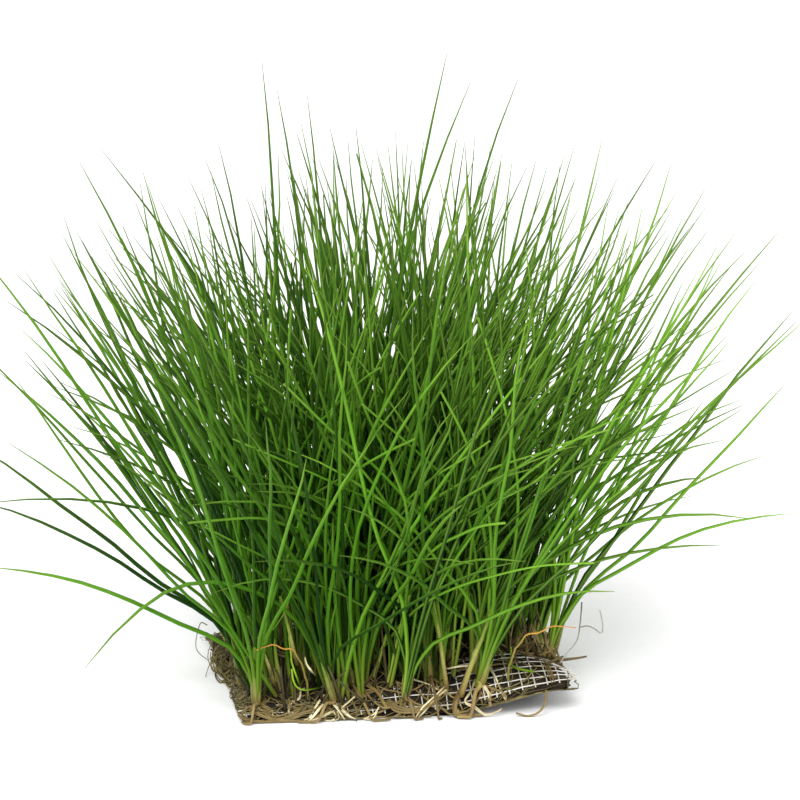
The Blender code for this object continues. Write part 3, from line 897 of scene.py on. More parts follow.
def plan_tuft(column, row, dice):
    x, y = crossing(column + 0.5, row + 0.5)
    x += dice.uniform(-CROWN_JITTER, CROWN_JITTER)
    y += dice.uniform(-CROWN_JITTER, CROWN_JITTER)
    u, v = mat_share(x, y)
    axis = upward(x, y, TUFT_LEAN_NOISE, dice)
    around = [direction(SECTOR * k, math.pi / 2) * CROWN_FOOT for k in range(BLADES_PER_TUFT)]
    ground = max(mat_top(x + step.x, y + step.y) for step in around) + GAP
    reach = BLADE_LENGTH - EDGE_SHORTER * (u * u + v * v) / 2
    return crown_at(Vector((x, y, ground)), axis, dice.uniform(0, SECTOR), reach) | {"cell": (column, row)}


def outward(tuft, angle):
    """Unit vector in the plane of the crown's top."""
    return tuft["side"] * math.cos(angle) + tuft["other"] * math.sin(angle)


def sector_angle(tuft, sector):
    return tuft["turn"] + SECTOR * sector

# %% [markdown]
# A blade is a smooth bend from its foot past a knee to its tip, which a formula gives (a quadratic Bezier
# curve). Three points say all about it, so a plan of hundreds of blades stays small. Its solid has a few
# straight stretches along that curve, more where it bends more.

# %% One blade: a foot, a knee and a tip
def along(line, share):
    """A point of a line, from 0 at its foot to 1 at its tip."""
    rest = 1 - share
    return line["foot"] * rest * rest + line["knee"] * 2 * rest * share + line["tip"] * share * share


def points_along(line, steps):
    return [along(line, k / steps) for k in range(steps + 1)]


def blade_line(tuft, sector, azimuth, foot_lean, tip_lean, length):
    """It sets off at one lean, and a smooth bend brings it to the other."""
    foot = tuft["neck"] + outward(tuft, sector_angle(tuft, sector)) * CROWN_NECK * 2 / 3
    knee = foot + direction(azimuth, foot_lean) * length / 2
    tip = knee + direction(azimuth, tip_lean) * length / 2
    stretches = 2 + int(abs(tip_lean - foot_lean) / math.radians(STRETCH_BEND))
    return {"foot": foot, "knee": knee, "tip": tip, "stretches": stretches}


def random_blade(tuft, sector, dice):
    spread = math.radians(dice.uniform(*BLADE_SPREAD))
    angle = sector_angle(tuft, sector) + SECTOR * dice.uniform(-SECTOR_DRIFT, SECTOR_DRIFT)
    course = tuft["axis"] * math.cos(spread) + outward(tuft, angle) * math.sin(spread)
    foot_lean = min(math.acos(course.z), math.radians(CROWD_LEAN))
    bend = math.radians(dice.uniform(*BLADE_BEND)) + LEAN_BENDS * foot_lean
    length = tuft["reach"] + dice.gauss(0, BLADE_LENGTH_NOISE)
    return blade_line(tuft, sector, math.atan2(course.y, course.x), foot_lean, foot_lean + bend, length)


def lone_blade(tuft, angles, length, dice):
    """A blade on a course of its own, from the free sector that faces that way."""
    azimuth, foot_lean, tip_lean = (
        math.radians(angle + dice.uniform(-LONE_DRIFT, LONE_DRIFT)) for angle in angles
    )
    course = direction(azimuth, foot_lean)
    free = [sector for sector in range(BLADES_PER_TUFT) if sector not in tuft["blades"]]
    sector = max(free, key=lambda one: course.dot(outward(tuft, sector_angle(tuft, one))))
    return sector, blade_line(tuft, sector, azimuth, foot_lean, tip_lean, length * MM)


def dead_line(cell, bend, tip):
    """A dead blade's line, from its crown's cell and two places in millimetres."""
    x, y = crossing(cell[0] + 0.5, cell[1] + 0.5)
    foot = Vector((x, y, mat_top(x, y) + GAP + DEAD_RADIUS))
    return {"foot": foot, "knee": Vector(bend) * MM, "tip": Vector(tip) * MM}

# %% [markdown]
# A blade is only kept if it has room. The smallest distance between two straight stretches has a short
# formula, and numpy works it out for one stretch against all the others at once, which is what makes trying
# two hundred courses for a crowded sector quick.

# %% Room between the blades
def nearest(start, end, starts, ends):
    """The smallest distance from one straight stretch to many others."""
    one, many, between = end - start, ends - starts, start - starts
    one_sq, many_sq = one @ one, (many * many).sum(axis=1)
    across, on_one, on_many = many @ one, between @ one, (many * between).sum(axis=1)
    spread = np.maximum(one_sq * many_sq - across**2, 1e-18)
    s = np.clip((across * on_many - on_one * many_sq) / spread, 0, 1)
    t = np.clip((across * s + on_many) / many_sq, 0, 1)
    s = np.clip((across * t - on_one) / one_sq, 0, 1)
    apart = between + s[:, None] * one - t[:, None] * many
    return np.sqrt((apart**2).sum(axis=1))


class Neighbours:
    """The middle lines of what is already in place, each stretch with the clearance that it asks for."""

    def __init__(self):
        self.starts, self.ends, self.clearances, self.owners = [], [], [], []

    def add(self, points, clearance, owner):
        for start, end in zip(points, points[1:]):
            self.starts.append(start)
            self.ends.append(end)
            self.clearances.append(clearance)
            self.owners.append(owner)

    def leave_room(self, points, owner):
        """Whether a new line keeps clear of all of them. Its first stretch may be close to its own tuft."""
        starts, ends = np.array(self.starts), np.array(self.ends)
        clearances, same = np.array(self.clearances), np.array(self.owners) == owner
        for k, (start, end) in enumerate(zip(points, points[1:])):
            others = ~same if k == 0 else np.full(len(same), True)
            apart = nearest(np.array(start), np.array(end), starts[others], ends[others])
            if (apart < clearances[others]).any():
                return False
        return True

# %% Draw up the whole plan
def plan_tufts():
    dice = random.Random(SEED)
    tufts = [plan_tuft(column, row, dice) for column, row in tuft_cells()]
    neighbours = Neighbours()
    for index, tuft in enumerate(tufts):
        neighbours.add([tuft["foot"], tuft["neck"]], CROWN_CLEARANCE, index)
    for course in DEAD_BLADES.values():
        neighbours.add(points_along(dead_line(*course), DEAD_STEPS), BLADE_CLEARANCE, None)

    def grow(index, propose):
        for _ in range(TRIES):
            sector, blade = propose()
            points = points_along(blade, blade["stretches"])
            if abs(points[-1].y) < CROWD_DEPTH / 2 and neighbours.leave_room(points, index):
                tufts[index]["blades"][sector] = blade
                neighbours.add(points, BLADE_CLEARANCE, index)
                return

    by_cell = {tuft["cell"]: index for index, tuft in enumerate(tufts)}
    for column, row, *angles, length in LONE_BLADES:
        index = by_cell[column, row]
        grow(index, lambda: lone_blade(tufts[index], angles, length, dice))
    for index, tuft in enumerate(tufts):
        for sector in range(BLADES_PER_TUFT):
            if sector not in tuft["blades"]:
                grow(index, lambda: (sector, random_blade(tuft, sector, dice)))
    return tufts


TUFTS = plan_tufts()
TUFT_NODES = {tuft["cell"]: f"tuft_{number:02d}" for number, tuft in enumerate(TUFTS, 1)}
print(len(TUFTS), "tufts with", sum(len(tuft["blades"]) for tuft in TUFTS), "planned blades")

# %% [markdown]
# ## The blades
#
# A real tuft has more blades than the solid one, and new shoots come up from the runners between the tufts.
# More copies of one blade would show as copies. So the main crowns get a few extra blades, and many small
# side crowns are set between them, each blade on a line of its own. These blades arch: each sets off at one
# lean and bends over to another side, so that the crowd is full of crossings. At the front some short ones
# lean far to the left or right across the others.

# %% Extra blades for a crown
EXTRA_BLADES = 5
OUTER_BLADES = 2  # for crowns near the left and right rim, so that the wings stay thin
OUTER_FROM = 0.68
EXTRA_SPREAD = 26.0
EXTRA_UPRIGHT = 0.7
EXTRA_BEND = (5.0, 52.0)
EXTRA_TURN = 60.0
EXTRA_SHORTEST = 0.6


def arched_line(foot, azimuth, lean, bend, turn, length):
    """A line that sets off at one lean, and bends over and turns aside as it goes."""
    knee = foot + direction(azimuth, lean) * length / 2
    tip = knee + direction(azimuth + turn, lean + bend) * length / 2
    return {"foot": foot, "knee": knee, "tip": tip}


def crown_point(tuft, azimuth):
    return tuft["neck"] + outward(tuft, azimuth - tuft["turn"]) * CROWN_NECK * 2 / 3


def extra_blade(tuft, dice, shortest):
    """A blade that stands more upright than its tuft."""
    upright = (tuft["axis"] + Vector((0, 0, EXTRA_UPRIGHT))).normalized()
    azimuth = dice.uniform(0, math.tau)
    spread = math.radians(EXTRA_SPREAD) * dice.random() ** 0.8
    course = upright * math.cos(spread) + direction(azimuth, math.pi / 2) * math.sin(spread)
    lean = math.acos(course.normalized().z)
    bend = math.radians(dice.uniform(*EXTRA_BEND)) + LEAN_BENDS * lean
    turn = math.radians(dice.gauss(0, EXTRA_TURN))
    length = tuft["reach"] * dice.triangular(shortest, 1.03, 0.97) * (1 - 0.2 * lean)
    return arched_line(crown_point(tuft, azimuth), math.atan2(course.y, course.x), lean, bend, turn, length)

# %% Crossing blades and side crowns
FRONT_ROWS = 2  # where the crowns stand free and have fewer blades
CROSSING_ROWS = 8
CROSSING_BLADES = 4
CROSSING_ASIDE = (35, 92)
CROSSING_LEAN = (8.0, 40.0)
CROSSING_BEND = (8, 60)
CROSSING_TURN = 16
CROSSING_LENGTH = (60, 122)
SIDE_CROWNS = 130
SIDE_BLADES = (3, 6)
SIDE_SHORTEST = 0.55
SIDE_LEAN_NOISE = 9.0
SIDE_SUNK = 0.3 * MM
SIDE_FRONT = -30.0 * MM  # no side crown stands further forward
MIDDLE_LONGER = 15.0 * MM
RIGHT_LONGER = 0.35  # the tallest part of the crowd lies to the right of its middle


def crossing_blade(tuft, dice):
    """A short blade that leans across its neighbours, to the left or right and a little forward."""
    azimuth = math.radians(-90 + dice.choice((-1, 1)) * dice.uniform(*CROSSING_ASIDE))
    lean = math.radians(dice.uniform(*CROSSING_LEAN))
    bend, turn = math.radians(dice.uniform(*CROSSING_BEND)), math.radians(dice.gauss(0, CROSSING_TURN))
    length = dice.uniform(*CROSSING_LENGTH) * MM
    return arched_line(crown_point(tuft, azimuth), azimuth, lean, bend, turn, length)


def side_crown(dice):
    """A small crown somewhere between the main ones."""
    x, y = crossing(dice.uniform(0.3, NET_COLUMNS - 1.3), (NET_ROWS - 1.3) * dice.random())
    u, v = mat_share(x, y)
    taller = MIDDLE_LONGER * (1 - (u - RIGHT_LONGER) ** 2)
    reach = BLADE_LENGTH + taller - EDGE_SHORTER * (u * u + v * v) / 3
    return crown_at(on_slab(x, y, -SIDE_SUNK), upward(x, y, SIDE_LEAN_NOISE, dice), 0.0, reach)

# %% [markdown]
# A line becomes a stem in three moves. Near its foot it runs up inside the crown with the others, the
# corner that this makes is rounded off, and further up it sways a little. The thickness stays nearly even
# and then falls away close to the tip, as on a real blade. Blades inside the crowd get a darker shade,
# because little light reaches them.

# %% From a line to a tapering stem
BLADE_STEPS = 12
BLADE_SIDES = 6
STEP_GROWTH = 1.25  # the steps are closer together near the foot
NECK_SHARE = 0.38  # of a blade's length, over which it leaves its neighbours
NECK_HUG = 1.6
FOOT_SUNK, FOOT_RISE = 1.0 * MM, 2.0 * MM
BLADE_SWAY, SWAY_STEP = 1.6 * MM, 0.35
BLUNT_END = 0.88
INSIDE_LIGHT = 0.22


def soften(points, first, last):
    """Rounds off the corner that a chain makes near its foot."""
    for _ in range(2):
        points = [
            (points[k - 1] + points[k] * 2 + points[k + 1]) / 4 if first <= k <= last else points[k]
            for k in range(len(points))
        ]
    return points


def blade_stem(tuft, blade, seed):
    """The points of a blade: up inside the crown's neck, then out on its own line to the tip."""
    away = blade["foot"] - tuft["neck"]
    sunk = tuft["foot"] + away * 0.5 - tuft["axis"] * FOOT_SUNK
    points = [sunk, tuft["foot"] + away * 0.75 + tuft["axis"] * FOOT_RISE]
    length = (blade["knee"] - blade["foot"]).length * 2
    for k in range(BLADE_STEPS + 1):
        share = (k / BLADE_STEPS) ** STEP_GROWTH
        bundled = blade["foot"] + tuft["axis"] * length * share
        points.append(along(blade, share).lerp(bundled, max(0.0, 1 - share / NECK_SHARE) ** NECK_HUG))
    points = soften(points, 1, 4)
    for k in range(3, len(points)):
        aside = [wobble((seed, k * SWAY_STEP, layer), 1.0) for layer in (0, 5)]
        points[k] = points[k] + Vector((*aside, 0)) * (BLADE_SWAY * (k - 2) / BLADE_STEPS)
    return points


def blade_radii(count, radius, blunt):
    """Thickness from foot to tip: a little thinner all the way, and down to a hair near the tip."""
    shares = [max(0.0, (k - 2) / (count - 3)) for k in range(count)]
    if blunt:
        return [radius * (1.05 - 0.35 * s) * (0.6 if s == 1 else 1) for s in shares]
    return [radius * (1.05 - 0.14 * s) * (1 - 0.86 * s**7) for s in shares]


def openness(place):
    """How much daylight reaches a blade: 1 at the slab's rim and less inside the crowd."""
    rim = max(abs(share) for share in mat_share(place.x, place.y))
    return INSIDE_LIGHT + (1 - INSIDE_LIGHT) * min(1.0, rim) ** 3


def add_blade(stems, tuft, blade, dice, thick, blunt=False):
    radius = BLADE_RADIUS * dice.uniform(*thick)
    points = blade_stem(tuft, blade, dice.uniform(0, 100))
    # Painted shade: the further inside the crowd a blade stands, the lower its shade and the darker its
    # green.
    shade = dice.random() * openness(tuft["foot"])
    stems.add(points, blade_radii(len(points), radius, blunt), shade, 0, BLUNT_END if blunt else 1)

# %% [markdown]
# All blades could be one mesh, but then it couldn't be said which part of it stands for which tuft, and a
# mesh for every tuft would be many small pieces. So each row of tufts becomes one piece, which stands for
# that row's solids, and the side crowns make two more.

# %% Draw the blades, one piece for each row of tufts
PLANNED_THICK = (0.82, 1.12)
EXTRA_THICK = (0.76, 1.08)
CROSSING_THICK = (0.75, 1.05)
SIDE_THICK = (0.74, 1.08)
CUT_SHARE = 0.07  # of the extra blades end in a blunt cut
MOSTLY_BARE = 0.3


def grow_tuft(stems, tuft, dice):
    for blade in tuft["blades"].values():
        add_blade(stems, tuft, blade, dice, PLANNED_THICK)
    in_front = tuft["cell"][1] < FRONT_ROWS
    outer = abs(mat_share(*tuft["foot"].xy)[0]) > OUTER_FROM
    for _ in range(0 if in_front else OUTER_BLADES if outer else EXTRA_BLADES):
        blunt = dice.random() < CUT_SHARE
        add_blade(stems, tuft, extra_blade(tuft, dice, EXTRA_SHORTEST), dice, EXTRA_THICK, blunt)
    if tuft["cell"][1] < CROSSING_ROWS and not outer:
        for _ in range(1 if in_front else CROSSING_BLADES):
            add_blade(stems, tuft, crossing_blade(tuft, dice), dice, CROSSING_THICK)


def build_blades():
    dice = random.Random(23)
    rows = {}
    for tuft in TUFTS:
        grow_tuft(rows.setdefault(tuft["cell"][1], Stems()), tuft, dice)
    for row, stems in rows.items():
        piece = stems.draw(f"blades_row_{row + 1:02d}", LEAF, BLADE_SIDES)
        own(piece, [node for cell, node in TUFT_NODES.items() if cell[1] == row])


def build_side_blades():
    dice, halves = random.Random(27), (Stems(), Stems())
    for _ in range(SIDE_CROWNS):
        crown = side_crown(dice)
        x, y = crown["foot"].xy
        if bareness(x, y) > MOSTLY_BARE or y < SIDE_FRONT or abs(mat_share(x, y)[0]) > OUTER_FROM:
            continue
        for _ in range(dice.randint(*SIDE_BLADES)):
            blunt = dice.random() < CUT_SHARE
            add_blade(halves[y > 0], crown, extra_blade(crown, dice, SIDE_SHORTEST), dice, SIDE_THICK, blunt)
    for name, stems in zip(("side_blades_front", "side_blades_back"), halves):
        own(stems.draw(name, LEAF, BLADE_SIDES), [])


build_blades()
build_side_blades()

# %% [markdown]
# Between the crowns, young blades come up singly from the runners. They are short and thin, and they make
# the foot of the crowd dense and dark; inside the crowd their green is painted darker as well, as shade.
# They need no crown of their own: a foot, a course and a little bow are enough, and the stubs and crumbs
# further down are made of the same three.

# %% Young blades between the crowns
YOUNG_BLADES = 260
YOUNG_RADIUS = 0.38 * MM
YOUNG_LENGTH = (14, 80, 34)  # shortest, longest and commonest, in millimetres
YOUNG_LEAN_NOISE = 9
YOUNG_BOW = 0.09
YOUNG_SUNK = 0.6 * MM
YOUNG_STEPS = 8


def bowed(foot, course, bow, steps):
    """Points of a stem from its foot along a course, pushed aside halfway by the bow."""
    return points_along({"foot": foot, "knee": foot + course / 2 + bow, "tip": foot + course}, steps)


def build_young_blades():
    dice, stems = random.Random(31), Stems()
    for _ in range(YOUNG_BLADES):
        x, y = crossing(dice.uniform(0.4, NET_COLUMNS - 1.4), dice.uniform(0.5, NET_ROWS - 1.4))
        if bareness(x, y) > 0.2:
            continue
        foot = on_slab(x, y, -YOUNG_SUNK)
        course = upward(x, y, YOUNG_LEAN_NOISE, dice)
        length = dice.triangular(*YOUNG_LENGTH) * MM
        bow = Vector((dice.uniform(-1, 1), dice.uniform(-1, 1), 0)) * length * YOUNG_BOW
        points = bowed(foot, course * length, bow, YOUNG_STEPS)
        radii = blade_radii(len(points), YOUNG_RADIUS * dice.uniform(0.75, 1.25), False)
        # Painted shade: a young blade's shade is lower inside the crowd, so its green is darker there.
        stems.add(points, radii, dice.random() * 0.8 * openness(foot), 0.02, 0.9)
    return stems.draw("young_blades", LEAF, BLADE_SIDES)


own(build_young_blades(), [])

# %% [markdown]
# ## Crown sheaths
#
# The lowest centimetre of a tuft is wrapped in pale dry sheaths. Real ones are thin sleeves, but open
# sleeves this small would only show as jagged edges. So each is a short tapering stem, widest just above
# the net, and a few of them split off and stand away from the bundle. The front crowns have a swollen pale
# neck as well.

# %% Wrap the crowns
SHEATHS_PER_CROWN = 5
SHEATH_SPREAD = (0, 9)
SHEATH_HEIGHT = (8, 17)
SHEATH_THICK = (0.5, 0.85)
SHEATH_PROFILE = (0.72, 1.0, 1.0, 0.9, 0.75, 0.55, 0.2)
SHEATH_SUNK, SHEATH_RIPPLE = 1.2 * MM, 0.25 * MM
BULB_ROWS = 3
BULB_FAT = (0.6, 0.98)
BULB = [(-1.6, 0.8), (0.4, 1.25), (2.6, 1.45), (5.5, 1.35), (9.0, 1.2), (12.5, 1.0), (16.0, 0.5)]


def add_bulb(stems, tuft, dice):
    """The pale neck of a front crown: height along the crown and radius, in millimetres."""
    fat = dice.uniform(*BULB_FAT)
    points = [tuft["foot"] + tuft["axis"] * height * MM for height, _ in BULB]
    stems.add(points, [radius * fat * MM for _, radius in BULB], dice.uniform(0.3, 0.9))


def add_sheath(stems, tuft, dice):
    away = outward(tuft, dice.uniform(0, math.tau))
    spread = math.radians(dice.uniform(*SHEATH_SPREAD))
    course = tuft["axis"] * math.cos(spread) + away * math.sin(spread)
    start = tuft["foot"] + away * dice.uniform(0.2, 0.7) * MM - tuft["axis"] * SHEATH_SUNK
    height = dice.uniform(*SHEATH_HEIGHT) * MM
    points = [start + course * height * k / 6 + away * SHEATH_RIPPLE * math.sin(k) for k in range(7)]
    thick = dice.uniform(*SHEATH_THICK) * MM
    stems.add(points, [thick * share for share in SHEATH_PROFILE], dice.random())


def build_sheaths():
    dice, stems = random.Random(12), Stems()
    for tuft in TUFTS:
        if tuft["cell"][1] < BULB_ROWS:
            add_bulb(stems, tuft, dice)
        for _ in range(SHEATHS_PER_CROWN):
            add_sheath(stems, tuft, dice)
    return stems.draw("crown_sheaths", SHEATH, 8)


own(build_sheaths(), list(TUFT_NODES.values()))

# %% [markdown]
# Between the crowns stands what is left of older blades: brown and straw-coloured stubs, some upright and
# some fallen over. They are the dull, dark undergrowth that shows between the green feet of the blades.
# Bare peat there would look swept, so they are strewn over the whole slab, denser towards the front.

# %% Old stubs between the crowns
OLD_STUBS = 280
OLD_SPREAD, OLD_LEAN_MOST = 34.0, 1.4
OLD_LENGTH = (4, 22, 8)
OLD_RADIUS = (0.25, 0.6)
OLD_BOW = 0.12
OLD_SUNK = 0.5 * MM


def build_old_stubs():
    dice, stems = random.Random(14), Stems()
    for _ in range(OLD_STUBS):
        column, row = dice.uniform(0.2, NET_COLUMNS - 1.2), (NET_ROWS - 1.3) * dice.random() ** 1.25
        x, y = crossing(column, row)
        if bareness(x, y) > MOSTLY_BARE:
            continue
        foot = on_slab(x, y, -OLD_SUNK)
        lean = math.radians(abs(dice.gauss(0, OLD_SPREAD)))
        course = direction(dice.uniform(0, math.tau), min(lean, OLD_LEAN_MOST))
        length = dice.triangular(*OLD_LENGTH) * MM
        bow = Vector((dice.gauss(0, OLD_BOW), dice.gauss(0, OLD_BOW), 0)) * length
        radii = tapering(dice.uniform(*OLD_RADIUS) * MM, 0.6, 7)
        stems.add(bowed(foot, course * length, bow, 6), radii, dice.random() ** 1.4)
    return stems.draw("old_stubs", OLD_STRAW, 6)


own(build_old_stubs(), [])

# %% [markdown]
# ## Roots
#
# Six thick roots come out of the front crowns, run over the rim and end on the ground. They follow the same
# smooth curve as their solids (Catmull-Rom), worked out here by its formula, because a curve object's own
# smoothing would leave the solids' route. The one at the right is an old, brown runner (a rhizome) and
# thicker than the rest.

# %% The six thick roots
# Each root's crown as column and row, then its drift to the right and its radius in millimetres.
FRONT_ROOTS = [
    (0, 0, -2.2, 0.45),
    (3, 0, -5.5, 0.5),
    (4, 1, 5.0, 0.45),
    (6, 0, 2.4, 0.45),
    (7, 1, 1.0, 0.4),
    (9, 0, -3.6, 0.65),
]
ROOT_POINTS = 17
ROOT_TAPER = 0.45
ROOT_STAND_OFF = 2.6 * MM
NET_STRAND = 0.5 * MM
RHIZOME_SWELL = 0.95


def smooth_point(route, share):
    """A point of the smooth curve (Catmull-Rom) through the route's points."""
    place = share * (len(route) - 1)
    k = min(int(place), len(route) - 2)
    t = place - k
    a, b, c, d = route[max(k - 1, 0)], route[k], route[k + 1], route[min(k + 2, len(route) - 1)]
    return (b * 2 + (c - a) * t + (a * 2 - b * 5 + c * 4 - d) * t**2 + (b * 3 - a - c * 3 + d) * t**3) / 2


def smooth_line(route, count):
    return [smooth_point(route, k / (count - 1)) for k in range(count)]


def front_root_route(tuft, drift, radius):
    x, rim_y = tuft["foot"].x, -MAT_DEPTH / 2
    start_y = tuft["foot"].y - CROWN_FOOT - GAP - radius
    half_way_y = (start_y + rim_y) / 2
    front_y = rim_y - ROOT_STAND_OFF
    over_net = 2 * GAP + NET_STRAND + radius
    rim_z = mat_top(x, rim_y) + over_net
    ground_z = radius + 0.1 * MM
    route = [
        (0.0, start_y, mat_top(x, start_y) + over_net),
        (0.2, half_way_y, mat_top(x, half_way_y) + over_net),
        (0.4, rim_y - 0.3 * ROOT_STAND_OFF, rim_z + 0.3 * MM),
        (0.6, front_y, (rim_z + ground_z) / 2 + 0.4 * MM),
        (0.8, front_y - 0.3 * MM, ground_z + 0.2 * MM),
        (1.2, front_y - 0.1 * MM, ground_z),
        (1.7, front_y + 0.2 * MM, ground_z),
    ]
    return [Vector((x + share * drift, y, z)) for share, y, z in route]


def build_front_roots(name, surface, numbers, swell):
    dice, stems = random.Random(6), Stems()
    by_cell = {tuft["cell"]: tuft for tuft in TUFTS}
    for number in numbers:
        column, row, drift, radius = FRONT_ROOTS[number - 1]
        tuft = by_cell[column, row]
        points = smooth_line(front_root_route(tuft, drift * MM, radius * MM), ROOT_POINTS)
        points.insert(0, tuft["foot"] + Vector((0, -0.4, 0.6)) * MM)
        radii = tapering(swell * radius * MM, ROOT_TAPER, len(points))
        stems.add(points, radii, dice.uniform(0.3, 1.0))
    own(stems.draw(name, surface, 8), [f"front_root_{number}" for number in numbers])


build_front_roots("front_roots", ROOT, [1, 2, 3, 4, 5], 1.0)
build_front_roots("front_rhizome", RHIZOME, [6], RHIZOME_SWELL)

# %% [markdown]
# Round them runs a tangle of thinner roots that has grown through the net and hangs over the edges. Each
# one is a short random walk over the slab: it keeps its heading with small turns, and where it passes the
# rim it goes on down the slab's side. A walk is quicker than placing hundreds of roots, and it never leaves
# the slab. Some start from the front crowns, and a dense felt of them binds the slab's edges.

# %% A root that walks over the slab
WALK_STEPS = 10
WALK_BEND, WALK_WANDER = 0.2, 0.28
WALK_ABOVE, WALK_HUMP, WALK_HUMP_WIDE = 0.3 * MM, 0.6 * MM, 4 * MM
HANG_WIDE = 2.2 * MM


def drape(x, y, above):
    """A place on the slab. Past the rim it goes on down the slab's side."""
    backward = (y + MAT_DEPTH / 2) / MAT_DEPTH
    centre, half_y = -BACK_SHIFT * backward, MAT_DEPTH / 2
    half_x = MAT_WIDTH / 2 * (1 + BACK_WIDER * backward)
    over_x, over_y = max(0.0, abs(x - centre) - half_x), max(0.0, abs(y) - half_y)
    over = max(over_x, over_y)
    x = centre + math.copysign(min(abs(x - centre), half_x), x - centre)
    y = math.copysign(min(abs(y), half_y), y)
    hang = abs(wobble((x, y, above * 20), HANG_WIDE, 4.0))
    low, top = mat_lift(x, y) + (0.25 + 1.6 * hang) * MM, slab_top(x, y) + above
    out = Vector((math.copysign(1, x - centre) * (over_x > 0), math.copysign(1, y) * (over_y > 0), 0))
    return Vector((x, y, max(low, top - over))) + out * min(1.0, over / MM) * (0.5 + 2.4 * hang) * MM


def walk_root(stems, dice, x, y, heading, length, radius, shade):
    """A root of this length in metres and radius in millimetres."""
    points = []
    turn = dice.gauss(0, WALK_BEND)
    for k in range(WALK_STEPS + 1):
        hump = abs(wobble((x, y, 0), WALK_HUMP_WIDE, 20 + 5 * radius))
        points.append(drape(x, y, WALK_ABOVE + WALK_HUMP * hump))
        heading += turn + dice.gauss(0, WALK_WANDER)
        x += length / WALK_STEPS * math.cos(heading)
        y += length / WALK_STEPS * math.sin(heading)
    stems.add(points, tapering(radius * MM, 0.5, len(points)), shade)

# %% Where the thin roots start
SCATTERED_ROOTS = 120
SCATTERED_LENGTH, SCATTERED_RADIUS = (8, 26), (0.08, 0.19)
KEPT_ON_BARE = 0.12  # share of the scattered roots that may lie on the bare net
CROWN_ROOT_LENGTH, CROWN_ROOT_RADIUS = (7, 20), (0.2, 0.4)
EDGE_LENGTH, EDGE_RADIUS = (8, 24), (0.09, 0.22)
EDGE_OVER = (-1.2, 3.0)
FELT_LEFT_OF = -18 * MM
FELT_ELSEWHERE = 0.2  # share of the felt's roots that are kept where it is thin


def scattered_root(stems, dice):
    x, y = crossing(dice.uniform(0, NET_COLUMNS - 1), (NET_ROWS - 1) * dice.random() ** 1.3)
    if bareness(x, y) < MOSTLY_BARE or dice.random() < KEPT_ON_BARE:
        length, radius = dice.uniform(*SCATTERED_LENGTH) * MM, dice.uniform(*SCATTERED_RADIUS)
        walk_root(stems, dice, x, y, dice.uniform(0, math.tau), length, radius, dice.random())


def crown_root(stems, dice, tuft):
    """A root that sets off from a front crown, towards the rim."""
    heading = math.radians(dice.uniform(-160, -20))
    x = tuft["foot"].x + CROWN_FOOT * math.cos(heading)
    y = tuft["foot"].y + CROWN_FOOT * math.sin(heading)
    length, radius = dice.uniform(*CROWN_ROOT_LENGTH) * MM, dice.uniform(*CROWN_ROOT_RADIUS)
    walk_root(stems, dice, x, y, heading, length, radius, dice.uniform(0.3, 1))


def felted(x, y):
    """Dense at the left, and thin in the middle and at the right, where black peat and bare net show."""
    return bareness(x, y) < 0.2 and x < FELT_LEFT_OF


def edge_root(stems, dice, side):
    """A root of the felt along one edge: 0 is the front, 1 the right, 2 the back and 3 the left."""
    share, over = dice.random(), dice.uniform(*EDGE_OVER) * MM
    along_x, sign = side % 2 == 0, (-1 if side in (0, 3) else 1)
    if along_x:
        x, y = crossing(share * (NET_COLUMNS - 1), 0 if side == 0 else NET_ROWS - 1)
        y += sign * over
    else:
        x, y = crossing(0 if side == 3 else NET_COLUMNS - 1, share * (NET_ROWS - 1))
        x += sign * over
    heading = dice.choice((0.0, math.pi)) + (0 if along_x else math.pi / 2) + dice.gauss(0, 0.15)
    length, radius = dice.uniform(*EDGE_LENGTH) * MM, dice.uniform(*EDGE_RADIUS)
    if felted(x, y) or dice.random() < FELT_ELSEWHERE:
        walk_root(stems, dice, x, y, heading, length, radius, dice.random())

# %% Draw the tangle and the felt
CROWN_ROOTS = 6  # at a crown of the front row, and two fewer in each row behind it
FELT_COUNTS = [230, 110, 90, 170]  # front, right, back and left


def build_tangle():
    dice, stems = random.Random(9), Stems()
    for _ in range(SCATTERED_ROOTS):
        scattered_root(stems, dice)
    for tuft in TUFTS:
        for _ in range(max(0, CROWN_ROOTS - 2 * tuft["cell"][1])):
            crown_root(stems, dice, tuft)
    own(stems.draw("root_tangle", ROOT, 5), ["root_mat"])


def build_edge_felt():
    dice, stems = random.Random(19), Stems()
    for side, count in enumerate(FELT_COUNTS):
        for _ in range(count):
            edge_root(stems, dice, side)
    own(stems.draw("edge_felt", FELT, 5), ["root_mat"])


build_tangle()
build_edge_felt()

# %% [markdown]
# ## Roots and shoots that can be told apart
#
# The stems that stand out at the front are placed one by one. Guessing their coordinates would take many
# tries. So each is a short list of pixels of the photograph's frame, and the camera's line of sight through
# a pixel says where it is: on the slab's upper side or its front wall, or, if the point has a third number,
# on the upright plane at that depth in millimetres. A smooth curve joins the points.

# %% What a pixel shows
FRAME_PIXELS = 800
SENSOR_MM = 36
FRONT_PLANE = -MAT_DEPTH / 2 - 1.6 * MM
SIGHT_STEP = 0.15 * MM
TRACE_ABOVE = 0.35  # millimetres of air under a traced stem
TRACE_DENSITY = 4  # points of the curve for each traced one


def line_of_sight(px, py):
    """Unit vector from the camera through a pixel."""
    focal_pixels = LENS_MM / SENSOR_MM * FRAME_PIXELS
    look = Vector((px - FRAME_PIXELS / 2, FRAME_PIXELS / 2 - py, -focal_pixels))
    return (CAMERA.rotation_euler.to_matrix() @ look).normalized()


def place_at_depth(px, py, y):
    sight = line_of_sight(px, py)
    return CAMERA.location + sight * ((y - CAMERA.location.y) / sight.y)


def place_on_slab(px, py, above):
    place, step = place_at_depth(px, py, FRONT_PLANE), line_of_sight(px, py) * SIGHT_STEP
    back = MAT_DEPTH / 2
    while place.y < back and place.z > slab_top(place.x, max(place.y, -back)) + above:
        place = place + step
    place.z = max(place.z, above)
    return place


